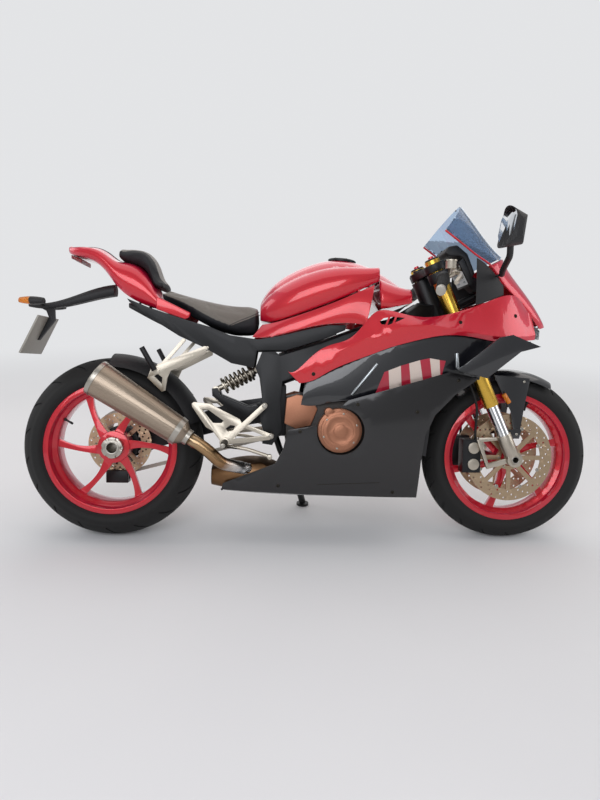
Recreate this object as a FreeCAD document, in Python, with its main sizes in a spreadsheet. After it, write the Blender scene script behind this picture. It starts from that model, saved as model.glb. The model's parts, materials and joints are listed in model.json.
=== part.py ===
"""Sport motorcycle, leaning on its side stand.

Every piece is drawn with the bike upright: X runs forward from the rear axle, Y to the
rider's left and Z up, in millimetres. At the end each piece gets one placement that leans
the bike to its left until the stand's foot and both tyres share the ground plane.
"""
import FreeCAD, Part
import math
import os
from FreeCAD import Placement, Rotation, Vector

doc = FreeCAD.newDocument("SportBike")
sizes = doc.addObject("Spreadsheet::Sheet", "sizes")

# alias, value in millimetres or degrees, what it is
DRIVING_SIZES = [
    ("wheelbase", 1410, "rear axle to front axle"),
    ("lean_angle", 10.9, "lean to the left on the side stand"),
    ("rear_tyre_radius", 315, "rear tyre, axle to crown"),
    ("rear_tyre_half_width", 90, "rear tyre, half its width"),
    ("rear_crown_radius", 92, "rear tyre, radius of the tread across"),
    ("front_tyre_radius", 300, "front tyre, axle to crown"),
    ("front_tyre_half_width", 60, "front tyre, half its width"),
    ("front_crown_radius", 60, "front tyre, radius of the tread across"),
    ("bead_radius", 218, "radius of the rims' bead seats"),
    ("flange_radius", 230, "radius of the rims' outer lips"),
    ("rear_rim_half_width", 76, "rear rim, half its width over the lips"),
    ("front_rim_half_width", 50, "front rim, half its width over the lips"),
    ("rim_wall", 6, "wall of the rims"),
    ("spoke_count", 6, "spokes of each wheel"),
    ("spoke_width", 24, "spoke width at the rim"),
    ("rear_hub_radius", 56, "rear hub ring, seen from the right"),
    ("front_hub_radius", 44, "front hub"),
    ("rear_axle_radius", 25, "rear stub axle, outside"),
    ("rear_axle_bore", 18, "rear stub axle, radius of its hollow"),
    ("rear_nut_radius", 37, "rear wheel nut, over its castle"),
    ("front_axle_radius", 14, "front axle, outside"),
    ("front_axle_bore", 10, "front axle, radius of its hollow"),
    ("front_disc_radius", 155, "front brake discs"),
    ("front_disc_inner", 114, "front brake discs, inner edge of the band"),
    ("front_disc_offset", 64, "front brake discs from the middle plane"),
    ("rear_disc_radius", 115, "rear brake disc"),
    ("rear_disc_inner", 78, "rear brake disc, inner edge of the band"),
    ("rear_disc_offset", 62, "rear brake disc left of the middle plane"),
    ("disc_thickness", 5, "brake discs"),
    ("chain_line", 152, "chain and sprockets left of the middle plane"),
    ("sprocket_radius", 105, "rear sprocket over its teeth"),
    ("front_sprocket_radius", 38, "front sprocket over its teeth"),
    ("chain_width", 16, "chain over its plates"),
    ("chain_height", 15, "height of a chain plate"),
    ("chain_clearance", 5.5, "rear sprocket's tooth tips to the chain"),
    ("rake_angle", 24.5, "steering axis from upright"),
    ("fork_offset", 30, "fork legs ahead of the steering axis"),
    ("fork_spacing", 105, "fork leg from the middle plane"),
    ("fork_outer_radius", 27, "gold outer tubes"),
    ("fork_inner_radius", 21.5, "polished inner tubes"),
    ("fork_outer_low", 205, "outer tubes' lower end above the axle, along the leg"),
    ("fork_top", 752, "outer tubes' top above the axle, along the leg"),
    ("fork_foot_top", 95, "fork bottoms' upper end above the axle, along the leg"),
    ("lower_yoke_low", 425, "underside of the lower yoke above the axle, along the leg"),
    ("upper_yoke_low", 712, "underside of the upper yoke above the axle, along the leg"),
    ("yoke_thickness", 26, "both yokes"),
    ("head_radius", 37, "steering head of the frame"),
    ("stem_radius", 17, "steering stem"),
    ("stem_bore", 9, "steering stem, radius of its hollow"),
    ("running_gap", 0.1, "gap round turning shafts"),
    ("pivot_x", 552, "swingarm pivot"),
    ("pivot_z", 452, "swingarm pivot"),
    ("beam_half_width", 146, "frame beams, outer face from the middle plane"),
    ("panel_wall", 4, "wall of the fairing panels"),
    ("screen_wall", 3, "wall of the windscreen"),
    ("clutch_x", 786, "clutch cover's centre"),
    ("clutch_z", 401, "clutch cover's centre"),
    ("clutch_radius", 64, "clutch cover"),
    ("clutch_opening", 79, "opening in the lower fairing round the clutch cover"),
    ("silencer_radius", 60, "silencer's can at its rear end"),
    ("silencer_front_radius", 46, "silencer's can at its front end"),
    ("silencer_offset", 200, "silencer right of the middle plane"),
    ("pipe_radius", 21, "link pipe"),
    ("header_radius", 19, "header pipes"),
    ("hose_radius", 4.5, "brake hoses"),
    ("grip_radius", 17, "handlebar grips"),
    ("bar_radius", 11, "handlebars"),
    ("stand_radius", 13, "side stand's leg"),
]
for row, (alias, value, meaning) in enumerate(DRIVING_SIZES, start=1):
    sizes.set("A%d" % row, meaning)
    sizes.set("B%d" % row, str(value))
    sizes.setAlias("B%d" % row, alias)
doc.recompute()


def size(alias):
    """A driving size from the sheet, as a plain number."""
    return float(getattr(sizes, alias))


# Values that follow from the driving sizes
LEAN = math.radians(size("lean_angle"))
RAKE = math.radians(size("rake_angle"))
RIGHT = -1
LEFT = 1


def leaned_axle_height(tyre_radius, crown_radius):
    """Axle height in the bike's frame at which the leaned tyre just touches the ground."""
    return tyre_radius + crown_radius * (1 / math.cos(LEAN) - 1)


REAR_AXLE = Vector(0, 0, leaned_axle_height(size("rear_tyre_radius"), size("rear_crown_radius")))
FRONT_AXLE = Vector(size("wheelbase"), 0,
                    leaned_axle_height(size("front_tyre_radius"), size("front_crown_radius")))
LEG_UP = Vector(-math.sin(RAKE), 0, math.cos(RAKE))
LEG_AHEAD = Vector(math.cos(RAKE), 0, math.sin(RAKE))
ACROSS = Vector(0, 1, 0)
UP = Vector(0, 0, 1)

pieces = []


def keep(obj, label):
    """Name a finished sub-part; only such objects are written out."""
    obj.Label = label
    pieces.append(obj)
    return obj


def feature(label, shape):
    obj = doc.addObject("Part::Feature", label)
    obj.Shape = shape
    return keep(obj, label)


def bound(kind, name, **expressions):
    """A primitive whose sizes are bound to cells of the sheet."""
    obj = doc.addObject(kind, name)
    for prop, expression in expressions.items():
        obj.setExpression(prop, expression)
    return obj


def bound_rod(name, start, direction, radius, height):
    rod = bound("Part::Cylinder", name, Radius=radius, Height=height)
    rod.Placement = Placement(start, Rotation(UP, direction))
    return rod


def side(distance, hand):
    """Signed distance from the middle plane: hand is RIGHT or LEFT."""
    return distance * hand


def leg_point(up_leg, ahead=0, across=0):
    """A point from the front axle: along the fork leg, ahead of it and to the left."""
    return FRONT_AXLE + LEG_UP * up_leg + LEG_AHEAD * ahead + ACROSS * across


def polygon(points):
    return Part.makePolygon(list(points) + [points[0]])


def plate(outline, y_low, y_high):
    """A flat plate from its side outline of (x, z) points."""
    face = Part.Face(polygon([Vector(x, y_low, z) for x, z in outline]))
    return face.extrude(Vector(0, y_high - y_low, 0))


def cylinder(start, end, radius):
    axis = end - start
    return Part.makeCylinder(radius, axis.Length, start, axis)


def ring(start, end, radius, bore):
    return cylinder(start, end, radius).cut(cylinder(start, end, bore))


def fused(shapes):
    first = shapes[0]
    if len(shapes) == 1:
        return first
    return first.multiFuse(shapes[1:]).removeSplitter()


def mirrored(shape):
    return shape.mirror(Vector(0, 0, 0), ACROSS)


def both_sides(shape):
    """One sub-part of two solids that don't touch, right and left."""
    return Part.makeCompound([shape, mirrored(shape)])


def path_with_bends(points, bend_share=0.42):
    """Straight runs joined by tangent arcs."""
    edges = []
    start = points[0]
    for before, corner, after in zip(points, points[1:], points[2:]):
        back = before - corner
        ahead = after - corner
        half_turn = (math.pi - back.getAngle(ahead)) / 2
        reach = bend_share * min(back.Length, ahead.Length)
        first = corner + back.normalize() * reach
        last = corner + ahead.normalize() * reach
        bisector = (back + ahead).normalize()
        radius = reach / math.tan(half_turn)
        centre = corner + bisector * (radius / math.cos(half_turn))
        middle = centre - bisector * radius
        edges.append(Part.LineSegment(start, first).toShape())
        edges.append(Part.Arc(first, middle, last).toShape())
        start = last
    edges.append(Part.LineSegment(start, points[-1]).toShape())
    return Part.Wire(edges)


def tube(points, radius):
    """A round bar or pipe along straight runs and tangent arcs."""
    path = path_with_bends(points) if len(points) > 2 else Part.makePolygon(points)
    ring_edge = Part.makeCircle(radius, points[0], points[1] - points[0])
    return path.makePipeShell([Part.Wire(ring_edge)], True, False)


def curve(a, b, c):
    """An arc through three points, or a line where they are in one line."""
    if (b - a).cross(c - b).Length < 1e-3 * (c - a).Length:
        return Part.LineSegment(a, c).toShape()
    return Part.Arc(a, b, c).toShape()


def rib_wire(top, middle, bottom, inward):
    """A thin slice of a panel: outer arc, edge, inner arc, edge."""
    return Part.Wire([curve(top, middle, bottom),
                      Part.LineSegment(bottom, bottom + inward).toShape(),
                      curve(bottom + inward, middle + inward, top + inward),
                      Part.LineSegment(top + inward, top).toShape()])


def side_panel(ribs, wall, hand=RIGHT):
    """A bowed panel beside the bike.

    A rib holds x, z and half-width at its top, half-width at its middle, and
    x, z and half-width at its bottom.
    """
    wires = []
    for x_top, z_top, w_top, w_mid, x_low, z_low, w_low in ribs:
        top = Vector(x_top, side(w_top, hand), z_top)
        low = Vector(x_low, side(w_low, hand), z_low)
        middle = Vector((x_top + x_low) / 2, side(w_mid, hand), (z_top + z_low) / 2)
        wires.append(rib_wire(top, middle, low, Vector(0, side(-wall, hand), 0)))
    return Part.makeLoft(wires, True, False)


def creased_panel(ribs, wall, hand):
    """A panel beside the bike with a sharp crease along it.

    A rib holds x, z and half-width at its top, z and half-width at the crease, and
    x, z and half-width at its bottom.
    """
    wires = []
    inward = Vector(0, side(-wall, hand), 0)
    for x_top, z_top, w_top, z_crease, w_crease, x_low, z_low, w_low in ribs:
        x_crease = x_low + (x_top - x_low) * (z_crease - z_low) / (z_top - z_low)
        top = Vector(x_top, side(w_top, hand), z_top)
        crease = Vector(x_crease, side(w_crease, hand), z_crease)
        low = Vector(x_low, side(w_low, hand), z_low)
        wires.append(polygon([top, crease, low, low + inward, crease + inward, top + inward]))
    return Part.makeLoft(wires, True, False)


def bowed_shell(ribs, wall):
    """A shell over the middle plane. A rib holds x, z and half-width of its two edges, and
    x and z on the middle plane; the wall lies inside.
    """
    wires = []
    for x_edge, z_edge, w_edge, x_mid, z_mid in ribs:
        right = Vector(x_edge, -w_edge, z_edge)
        middle = Vector(x_mid, 0, z_mid)
        left = Vector(x_edge, w_edge, z_edge)
        inward = Vector(x_edge - x_mid, 0, z_edge - z_mid).normalize() * wall
        right_inner = right + ACROSS * wall
        left_inner = left - ACROSS * wall
        wires.append(Part.Wire([curve(right, middle, left),
                                Part.LineSegment(left, left_inner).toShape(),
                                curve(left_inner, middle + inward, right_inner),
                                Part.LineSegment(right_inner, right).toShape()]))
    return Part.makeLoft(wires, True, False)


def body_loft(stations):
    """A solid over the middle plane. A station holds x, then height and half-width of the
    flat bottom, of the sides and of the shoulders, and the height of the top.
    """
    wires = []
    for x, z_low, w_low, z_side, w_side, z_shoulder, w_shoulder, z_top in stations:
        low_right = Vector(x, -w_low, z_low)
        low_left = Vector(x, w_low, z_low)
        right = Vector(x, -w_shoulder, z_shoulder)
        left = Vector(x, w_shoulder, z_shoulder)
        wires.append(Part.Wire([
            Part.LineSegment(low_left, low_right).toShape(),
            curve(low_right, Vector(x, -w_side, z_side), right),
            curve(right, Vector(x, 0, z_top), left),
            curve(left, Vector(x, w_side, z_side), low_left)]))
    return Part.makeLoft(wires, True, False)


def revolved(points, centre):
    """A ring about a wheel's axle from (y, radius) points."""
    profile = [Vector(centre.x, y, centre.z + radius) for y, radius in points]
    face = Part.Face(polygon(profile))
    return face.revolve(centre, ACROSS, 360)


PEG_RADIUS = 4
PEG_REACH = 30
PEG_BITE = 1.2


def fasten(label, carrier_label):
    """Gives each solid of a piece a peg over its narrowest gap, ending on its carrier's face."""
    by_label = {piece.Label: piece for piece in pieces}
    piece, carrier = by_label[label], by_label[carrier_label].Shape
    seated = []
    for solid in piece.Shape.Solids:
        gap, pairs, _ = solid.distToShape(carrier)
        if gap < 0.01 or gap > PEG_REACH:
            seated.append(solid)
            continue
        start, end = pairs[0]
        way = (end - start).normalize()
        peg = cylinder(start - way * PEG_BITE, end + way * PEG_BITE, PEG_RADIUS).cut(carrier)
        joined = solid.fuse(peg)
        seated.append(max(joined.Solids, key=lambda part: part.Volume))
    piece.Shape = seated[0] if len(seated) == 1 else Part.makeCompound(seated)


def boss(label, carrier_label, start, end):
    """A boss on a piece, up to the inner face of the panel that it holds."""
    by_label = {piece.Label: piece for piece in pieces}
    rods = cylinder(start, end, PEG_RADIUS + 2).cut(by_label[carrier_label].Shape).Solids
    rod = min(rods, key=lambda part: (part.CenterOfMass - start).Length)
    by_label[label].Shape = by_label[label].Shape.fuse(rod)


# Wheels


def tyre(centre, radius, half_width, crown_radius, rim_half_width):
    """Tyre with its round tread and sidewalls, from bead to bead."""
    bead = size("bead_radius")
    lip = size("flange_radius") + 0.3
    bead_y = rim_half_width - size("rim_wall") - 0.3
    tread_end = math.radians(56)
    edge_y = crown_radius * math.sin(tread_end)
    edge_r = radius - crown_radius * (1 - math.cos(tread_end))
    wide_r = (bead + edge_r) / 2 + 6

    def at(y, r):
        return Vector(centre.x, y, centre.z + r)

    outline = [
        curve(at(-edge_y, edge_r), at(0, radius), at(edge_y, edge_r)),
        curve(at(edge_y, edge_r), at(half_width, wide_r), at(rim_half_width, lip)),
        Part.LineSegment(at(rim_half_width, lip), at(bead_y, lip)).toShape(),
        Part.LineSegment(at(bead_y, lip), at(bead_y, bead)).toShape(),
        Part.LineSegment(at(bead_y, bead), at(-bead_y, bead)).toShape(),
        Part.LineSegment(at(-bead_y, bead), at(-bead_y, lip)).toShape(),
        Part.LineSegment(at(-bead_y, lip), at(-rim_half_width, lip)).toShape(),
        curve(at(-rim_half_width, lip), at(-half_width, wide_r), at(-edge_y, edge_r)),
    ]
    return Part.Face(Part.Wire(outline)).revolve(centre, ACROSS, 360)


def rim_band(centre, half_width):
    """The rim's barrel with its lips and drop centre."""
    wall = size("rim_wall")
    seat = size("bead_radius") - 0.3
    lip = size("flange_radius")
    drop = seat - 18
    outside = [(-half_width, lip), (-half_width + wall, lip), (-half_width + wall, seat),
               (-half_width * 0.6, seat), (-half_width * 0.42, drop), (half_width * 0.42, drop),
               (half_width * 0.6, seat), (half_width - wall, seat), (half_width - wall, lip),
               (half_width, lip)]
    inside = [(half_width, seat - wall), (half_width * 0.62, seat - wall - 2),
              (half_width * 0.45, drop - wall), (-half_width * 0.45, drop - wall),
              (-half_width * 0.62, seat - wall - 2), (-half_width, seat - wall)]
    return revolved(outside + inside, centre)


def spoke(centre, angle, hub_radius, hub_y, rim_y, depth, sweep):
    """One curved spoke from hub to rim; sweep turns its outer end round the axle."""
    reach = size("bead_radius") - 0.3 - 18 - size("rim_wall") + 2
    width = size("spoke_width")
    wires = []
    for share, wide in ((0, 1.5), (0.35, 0.95), (0.7, 0.85), (1, 1.25)):
        radius = hub_radius - 6 + (reach - hub_radius + 6) * share
        turn = math.radians(angle + sweep * share)
        out = Vector(math.cos(turn), 0, math.sin(turn))
        along = Vector(-math.sin(turn), 0, math.cos(turn))
        middle = centre + out * radius + ACROSS * (hub_y + (rim_y - hub_y) * share)
        half = along * (width * wide / 2)
        thick = ACROSS * (depth / 2)
        wires.append(polygon([middle - half - thick, middle + half - thick,
                              middle + half * 0.7 + thick, middle - half * 0.7 + thick]))
    return Part.makeLoft(wires, True, False)


def make_rear_wheel():
    count = int(size("spoke_count"))
    half_width = size("rear_rim_half_width")
    hub_face = -34
    hub = ring(REAR_AXLE + ACROSS * hub_face, REAR_AXLE + ACROSS * 40,
               size("rear_hub_radius"), size("rear_axle_radius") + 0.2)
    spokes = [spoke(REAR_AXLE, 130 + index * 360 / count, size("rear_hub_radius"), -14, -8, 30, -14)
              for index in range(count)]
    feature("rear_rim", fused([rim_band(REAR_AXLE, half_width), hub] + spokes))
    feature("rear_tyre", tyre(REAR_AXLE, size("rear_tyre_radius"), size("rear_tyre_half_width"),
                              size("rear_crown_radius"), half_width))


def make_rear_axle():
    """Hollow stub axle with the castellated nut that holds the wheel on."""
    left_end = size("chain_line") + 12
    axle = ring(REAR_AXLE + ACROSS * -60, REAR_AXLE + ACROSS * left_end,
                size("rear_axle_radius"), size("rear_axle_bore"))
    nut = ring(REAR_AXLE + ACROSS * -58, REAR_AXLE + ACROSS * -34.2,
               size("rear_nut_radius"), size("rear_axle_radius"))
    slots = []
    for index in range(6):
        slot = Part.makeBox(30, 9, 10, Vector(size("rear_axle_radius") + 4, -58.5, -5))
        slot.rotate(Vector(0, 0, 0), ACROSS, index * 60)
        slot.translate(REAR_AXLE)
        slots.append(slot)
    nut = nut.cut(Part.makeCompound(slots))
    feature("rear_axle", fused([axle, nut]))


def disc_band(centre, y_low, outer, inner, carrier_inner):
    """Brake disc: drilled band, carrier arms and carrier ring."""
    thickness = size("disc_thickness")
    low = centre + ACROSS * y_low
    high = low + ACROSS * thickness
    band = ring(low, high, outer, inner)
    holes = []
    for row_radius, count, start in ((inner + 9, 20, 0), ((inner + outer) / 2, 20, 6),
                                     (outer - 9, 20, 12)):
        for index in range(count):
            turn = math.radians(start + index * 360 / count)
            spot = Vector(math.cos(turn), 0, math.sin(turn)) * row_radius
            holes.append(cylinder(low + spot - ACROSS, high + spot + ACROSS, 3.5))
    band = band.cut(Part.makeCompound(holes))
    arms = []
    for index in range(8):
        arm = Part.makeBox(inner + 6 - carrier_inner, thickness, 16,
                           Vector(carrier_inner, 0, -8))
        arm.rotate(Vector(0, 0, 0), ACROSS, index * 45)
        arm.translate(low)
        arms.append(arm)
    hub = ring(low, high, carrier_inner + 14, carrier_inner)
    return fused([band, hub] + arms)


def make_rear_disc():
    feature("rear_disc", disc_band(REAR_AXLE, size("rear_disc_offset"), size("rear_disc_radius"),
                                   size("rear_disc_inner"), size("rear_axle_radius") + 0.2))


def make_sprocket():
    """Rear sprocket with its teeth and lightening holes."""
    teeth = 43
    tip = size("sprocket_radius")
    root = tip - 8
    y_low = size("chain_line") - 3.5
    points = []
    for index in range(teeth):
        for share, radius in ((0.0, root), (0.3, tip), (0.5, tip), (0.8, root)):
            turn = 2 * math.pi * (index + share) / teeth
            points.append(Vector(math.cos(turn) * radius, y_low, REAR_AXLE.z + math.sin(turn) * radius))
    blank = Part.Face(polygon(points)).extrude(ACROSS * 7)
    low = REAR_AXLE + ACROSS * (y_low - 1)
    cuts = [cylinder(low, low + ACROSS * 9, size("rear_axle_radius") + 0.2)]
    for index in range(6):
        turn = math.radians(index * 60)
        spot = Vector(math.cos(turn), 0, math.sin(turn)) * (root * 0.66)
        cuts.append(cylinder(low + spot, low + spot + ACROSS * 9, 15))
    feature("rear_sprocket", blank.cut(Part.makeCompound(cuts)))


def make_front_wheel():
    count = int(size("spoke_count"))
    half_width = size("front_rim_half_width")
    hub = ring(FRONT_AXLE + ACROSS * -56, FRONT_AXLE + ACROSS * 56,
               size("front_hub_radius"), size("front_axle_radius") + size("running_gap"))
    spokes = [spoke(FRONT_AXLE, 25 + index * 360 / count, size("front_hub_radius"), -10, -6, 28, -10)
              for index in range(count)]
    feature("front_rim", fused([rim_band(FRONT_AXLE, half_width), hub] + spokes))
    feature("front_tyre", tyre(FRONT_AXLE, size("front_tyre_radius"), size("front_tyre_half_width"),
                               size("front_crown_radius"), half_width))


def make_front_discs():
    inner = size("front_hub_radius") - 14
    low = size("front_disc_offset") - size("disc_thickness") / 2
    disc = disc_band(FRONT_AXLE, -low - size("disc_thickness"), size("front_disc_radius"),
                     size("front_disc_inner"), inner)
    spacer = ring(FRONT_AXLE + ACROSS * (-low), FRONT_AXLE + ACROSS * -56,
                  inner + 14, inner)
    feature("front_discs", both_sides(fused([disc, spacer])))


# Fork and steering


def make_outer_tubes():
    """Gold outer tubes, bound to the sheet."""
    tubes = []
    for hand, word in ((RIGHT, "right"), (LEFT, "left")):
        start = leg_point(size("fork_outer_low"), 0, side(size("fork_spacing"), hand))
        tubes.append(bound_rod("outer_tube_" + word, start, LEG_UP, "sizes.fork_outer_radius",
                               "sizes.fork_top - sizes.fork_outer_low"))
    pair = doc.addObject("Part::Compound", "fork_outer_tubes")
    pair.Links = tubes
    keep(pair, "fork_outer_tubes")


def caliper_arms():
    """The right fork bottom's two arms and their brace, which carry the caliper."""
    y = -size("fork_spacing")
    upper_arm = [leg_point(78, -6), leg_point(92, -20), leg_point(118, -82), leg_point(104, -90)]
    lower_arm = [leg_point(-8, -18), leg_point(12, -24), leg_point(22, -98), leg_point(4, -98)]
    brace = [leg_point(4, -88), leg_point(14, -98), leg_point(118, -92), leg_point(106, -80)]
    return fused([plate([(p.x, p.z) for p in outline], y + 2, y + 15)
                  for outline in (upper_arm, lower_arm, brace)])


def make_fork_legs():
    """Inner tubes, and axle clamps with the arms that carry the radial calipers."""
    spacing = size("fork_spacing")
    inner = cylinder(leg_point(size("fork_foot_top") - 5, 0, -spacing),
                     leg_point(size("fork_outer_low"), 0, -spacing), size("fork_inner_radius"))
    foot = fused([
        cylinder(leg_point(22, 0, -spacing), leg_point(size("fork_foot_top"), 0, -spacing), 25),
        cylinder(leg_point(0, 0, -spacing - 17), leg_point(0, 0, -spacing + 17), 27),
        Part.makeCylinder(24, 26, leg_point(0, 0, -spacing), LEG_UP),
    ])
    bore = cylinder(leg_point(0, 0, -spacing - 30), leg_point(0, 0, -spacing + 30),
                    size("front_axle_radius"))
    feature("fork_legs", both_sides(fused([inner, foot, caliper_arms()]).cut(bore)))


def make_front_axle():
    reach = size("fork_spacing") + 22
    feature("front_axle", ring(leg_point(0, 0, -reach), leg_point(0, 0, reach),
                               size("front_axle_radius"), size("front_axle_bore")))


def yoke(low, stem_reach):
    """A yoke: two leg clamps and the middle that carries the stem."""
    spacing = size("fork_spacing")
    high = low + size("yoke_thickness")
    offset = size("fork_offset")
    clamp = size("fork_outer_radius") + 11
    shapes = [cylinder(leg_point(low, 0, side(spacing, hand)),
                       leg_point(high, 0, side(spacing, hand)), clamp)
              for hand in (RIGHT, LEFT)]
    shapes.append(cylinder(leg_point(low, -offset), leg_point(high, -offset), 32))
    web = [leg_point(low, 18, -spacing), leg_point(low, 6, 0), leg_point(low, 18, spacing),
           leg_point(low, -30, spacing), leg_point(low, -offset - 28, 0),
           leg_point(low, -30, -spacing)]
    shapes.append(Part.Face(polygon(web)).extrude(LEG_UP * (high - low)))
    block = fused(shapes)
    holes = [cylinder(leg_point(low - 5, 0, side(spacing, hand)),
                      leg_point(high + 5, 0, side(spacing, hand)), size("fork_outer_radius"))
             for hand in (RIGHT, LEFT)]
    return block.cut(Part.makeCompound(holes))


def make_yokes():
    """Both yokes with the hollow stem between them."""
    low = size("lower_yoke_low")
    high = size("upper_yoke_low") + size("yoke_thickness")
    offset = size("fork_offset")
    stem = cylinder(leg_point(low - 6, -offset), leg_point(high + 8, -offset), size("stem_radius"))
    block = fused([yoke(low, high), yoke(size("upper_yoke_low"), high), stem])
    hollow = cylinder(leg_point(low - 10, -offset), leg_point(high + 12, -offset), size("stem_bore"))
    feature("yokes", block.cut(hollow))


BAR_ROOT = (690, 12, 132)
BAR_END = (648, -82, 352)


def bar_points(hand):
    root = leg_point(BAR_ROOT[0], BAR_ROOT[1], side(BAR_ROOT[2], hand))
    end = leg_point(BAR_END[0], BAR_END[1], side(BAR_END[2], hand))
    return root, end


def make_handlebars():
    """Clip-on clamps below the upper yoke with their bars."""
    spacing = size("fork_spacing")
    low = size("upper_yoke_low") - 38
    root, end = bar_points(RIGHT)
    clamp = cylinder(leg_point(low, 0, -spacing), leg_point(low + 34, 0, -spacing),
                     size("fork_outer_radius") + 9)
    lug = cylinder(leg_point(low + 17, 0, -spacing - 20), root, 15)
    bar = cylinder(root, end, size("bar_radius"))
    weight = cylinder(end, end + (end - root).normalize() * 26, 15)
    clip = fused([clamp, lug, bar, weight])
    clip = clip.cut(cylinder(leg_point(low - 5, 0, -spacing), leg_point(low + 40, 0, -spacing),
                             size("fork_outer_radius")))
    feature("handlebars", both_sides(clip))


def along(start, end, share, lift=0.0):
    return start + (end - start) * share + UP * lift


def make_grips():
    root, end = bar_points(RIGHT)
    bar = size("bar_radius")
    grip = fused([ring(along(root, end, 0.42), along(root, end, 0.97), size("grip_radius"), bar),
                  ring(along(root, end, 0.38), along(root, end, 0.42), size("grip_radius") + 6, bar)])
    feature("grips", both_sides(grip))


def make_levers():
    """Brake and clutch levers with their clamps, switch housings and fluid cups."""
    root, end = bar_points(RIGHT)
    housing = ring(along(root, end, 0.16), along(root, end, 0.37), 21, size("bar_radius"))
    arm = cylinder(along(root, end, 0.26) + LEG_AHEAD * 12, along(root, end, 0.22) + LEG_AHEAD * 46, 10)
    blade = tube([along(root, end, 0.20) + LEG_AHEAD * 44, along(root, end, 0.48) + LEG_AHEAD * 66,
                  along(root, end, 0.74) + LEG_AHEAD * 62, along(root, end, 1.0) + LEG_AHEAD * 50], 7)
    foot = along(root, end, 0.24) + LEG_AHEAD * 20
    top = foot + UP * 18 - ACROSS * 22
    cup = fused([Part.makeCylinder(18, 24, top, UP), Part.makeCylinder(20, 5, top + UP * 24, UP),
                 cylinder(foot, top + UP * 4, 6)])
    unit = fused([housing, arm, blade, cup]).cut(cylinder(root, end, size("bar_radius")))
    feature("levers", both_sides(unit))


def make_front_fender():
    """Mudguard over the front tyre with its stays to the fork."""
    half = size("front_tyre_half_width") + 8
    crown = size("front_tyre_radius") + 16
    edge = crown - 34
    wall = 3

    def at(y, r):
        return FRONT_AXLE + Vector(0, y, r)

    profile = Part.Wire([curve(at(-half, edge), at(0, crown), at(half, edge)),
                         Part.LineSegment(at(half, edge), at(half - wall, edge)).toShape(),
                         curve(at(half - wall, edge), at(0, crown - wall), at(-half + wall, edge)),
                         Part.LineSegment(at(-half + wall, edge), at(-half, edge)).toShape()])
    face = Part.Face(profile)
    face.rotate(FRONT_AXLE, ACROSS, 30)
    shell = face.revolve(FRONT_AXLE, ACROSS, -72)
    stay = plate([(1345, 585), (1470, 575), (1452, 470), (1442, 400), (1420, 380), (1405, 470)],
                 -half - 9, -half - 5)
    rail = plate([(1345, 596), (1345, 578), (1470, 568), (1470, 586)], -half - 9, -half + 3)
    bracket = plate([(1442, 404), (1434, 372), (1376, 372), (1368, 404)], -half - 22, -half - 5)
    leg = cylinder(leg_point(20, 0, -size("fork_spacing")), leg_point(150, 0, -size("fork_spacing")),
                   25.3)
    arm = fused([stay, rail, bracket]).cut(leg)
    feature("front_fender", fused([shell, arm, mirrored(arm)]))


def make_front_calipers():
    """Four-piston radial calipers over the rear edge of the discs."""
    y_disc = -size("front_disc_offset")
    centre = leg_point(66, -128)
    block = Part.makeBox(64, 50, 118, Vector(-32, -25, -59))
    slot = Part.makeBox(60, size("disc_thickness") + 10, 130,
                        Vector(-20, -size("disc_thickness") / 2 - 5, -65))
    body = block.cut(slot)
    for shift in (-29, 29):
        body = body.fuse(Part.makeCylinder(20, 6, Vector(6, -31, shift), ACROSS))
    body.translate(Vector(centre.x, y_disc, centre.z))
    feature("front_calipers", both_sides(body.cut(caliper_arms())))


def make_brake_hoses():
    """Hoses from the calipers up behind the fork legs to a splitter under the lower yoke."""
    caliper = leg_point(66, -128)
    start = Vector(caliper.x + 12, -84, caliper.z + 59)
    hose = tube([start, start + UP * 30, leg_point(230, -42, -104), leg_point(345, -40, -104),
                 leg_point(392, -54, -60), leg_point(398, -54, -20)], size("hose_radius"))
    splitter = cylinder(leg_point(398, -54, -24), leg_point(398, -54, 24), 9)
    low = size("lower_yoke_low")
    mount = cylinder(leg_point(398, -54), leg_point(low, -54), 5)
    feature("brake_hoses", fused([hose, mirrored(hose), splitter, mount]))


# Frame, swingarm, stand


def make_frame():
    """Twin beams from the steering head to the pivot plates."""
    outer = size("beam_half_width")
    # x, lower z, upper z, inner half-width, outer half-width
    stations = [(578, 545, 658, outer - 34, outer - 4), (720, 598, 703, outer - 30, outer + 4),
                (860, 640, 757, outer - 32, outer), (980, 690, 790, 78, 112),
                (1070, 712, 848, 30, 64), (1128, 745, 850, 6, 44)]
    wires = [polygon([Vector(x, -w_in, low), Vector(x, -w_out, low + 12),
                      Vector(x, -w_out, high - 12), Vector(x, -w_in, high)])
             for x, low, high, w_in, w_out in stations]
    beam = Part.makeLoft(wires, True, True)
    pivot_outline = [(521, 660), (566, 662), (596, 640), (592, 567), (584, 499), (592, 397),
                     (560, 345), (526, 350), (530, 389), (516, 440), (524, 498), (514, 572), (500, 606)]
    pivot_plate = plate(pivot_outline, -outer + 4, -outer + 34)
    low = size("lower_yoke_low") + size("yoke_thickness") + 6
    high = size("upper_yoke_low") - 6
    offset = size("fork_offset")
    head = cylinder(leg_point(low, -offset), leg_point(high, -offset), size("head_radius"))
    cross_low = cylinder(Vector(560, -outer + 10, 372), Vector(560, outer - 10, 372), 16)
    cross_high = cylinder(Vector(560, -outer + 10, 618), Vector(560, outer - 10, 618), 18)
    stay = tube([Vector(1130, 0, 822), Vector(1210, 0, 838), Vector(1288, 0, 879)], 14)
    stay_bar = cylinder(Vector(1288, -139, 879), Vector(1288, 139, 879), 8)
    frame = fused([beam, mirrored(beam), pivot_plate, mirrored(pivot_plate), head, cross_low,
                   cross_high, stand_bracket(), stay, stay_bar])
    bore = cylinder(leg_point(low - 5, -offset), leg_point(high + 5, -offset),
                    size("stem_radius") + size("running_gap"))
    feature("frame", frame.cut(bore))


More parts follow.
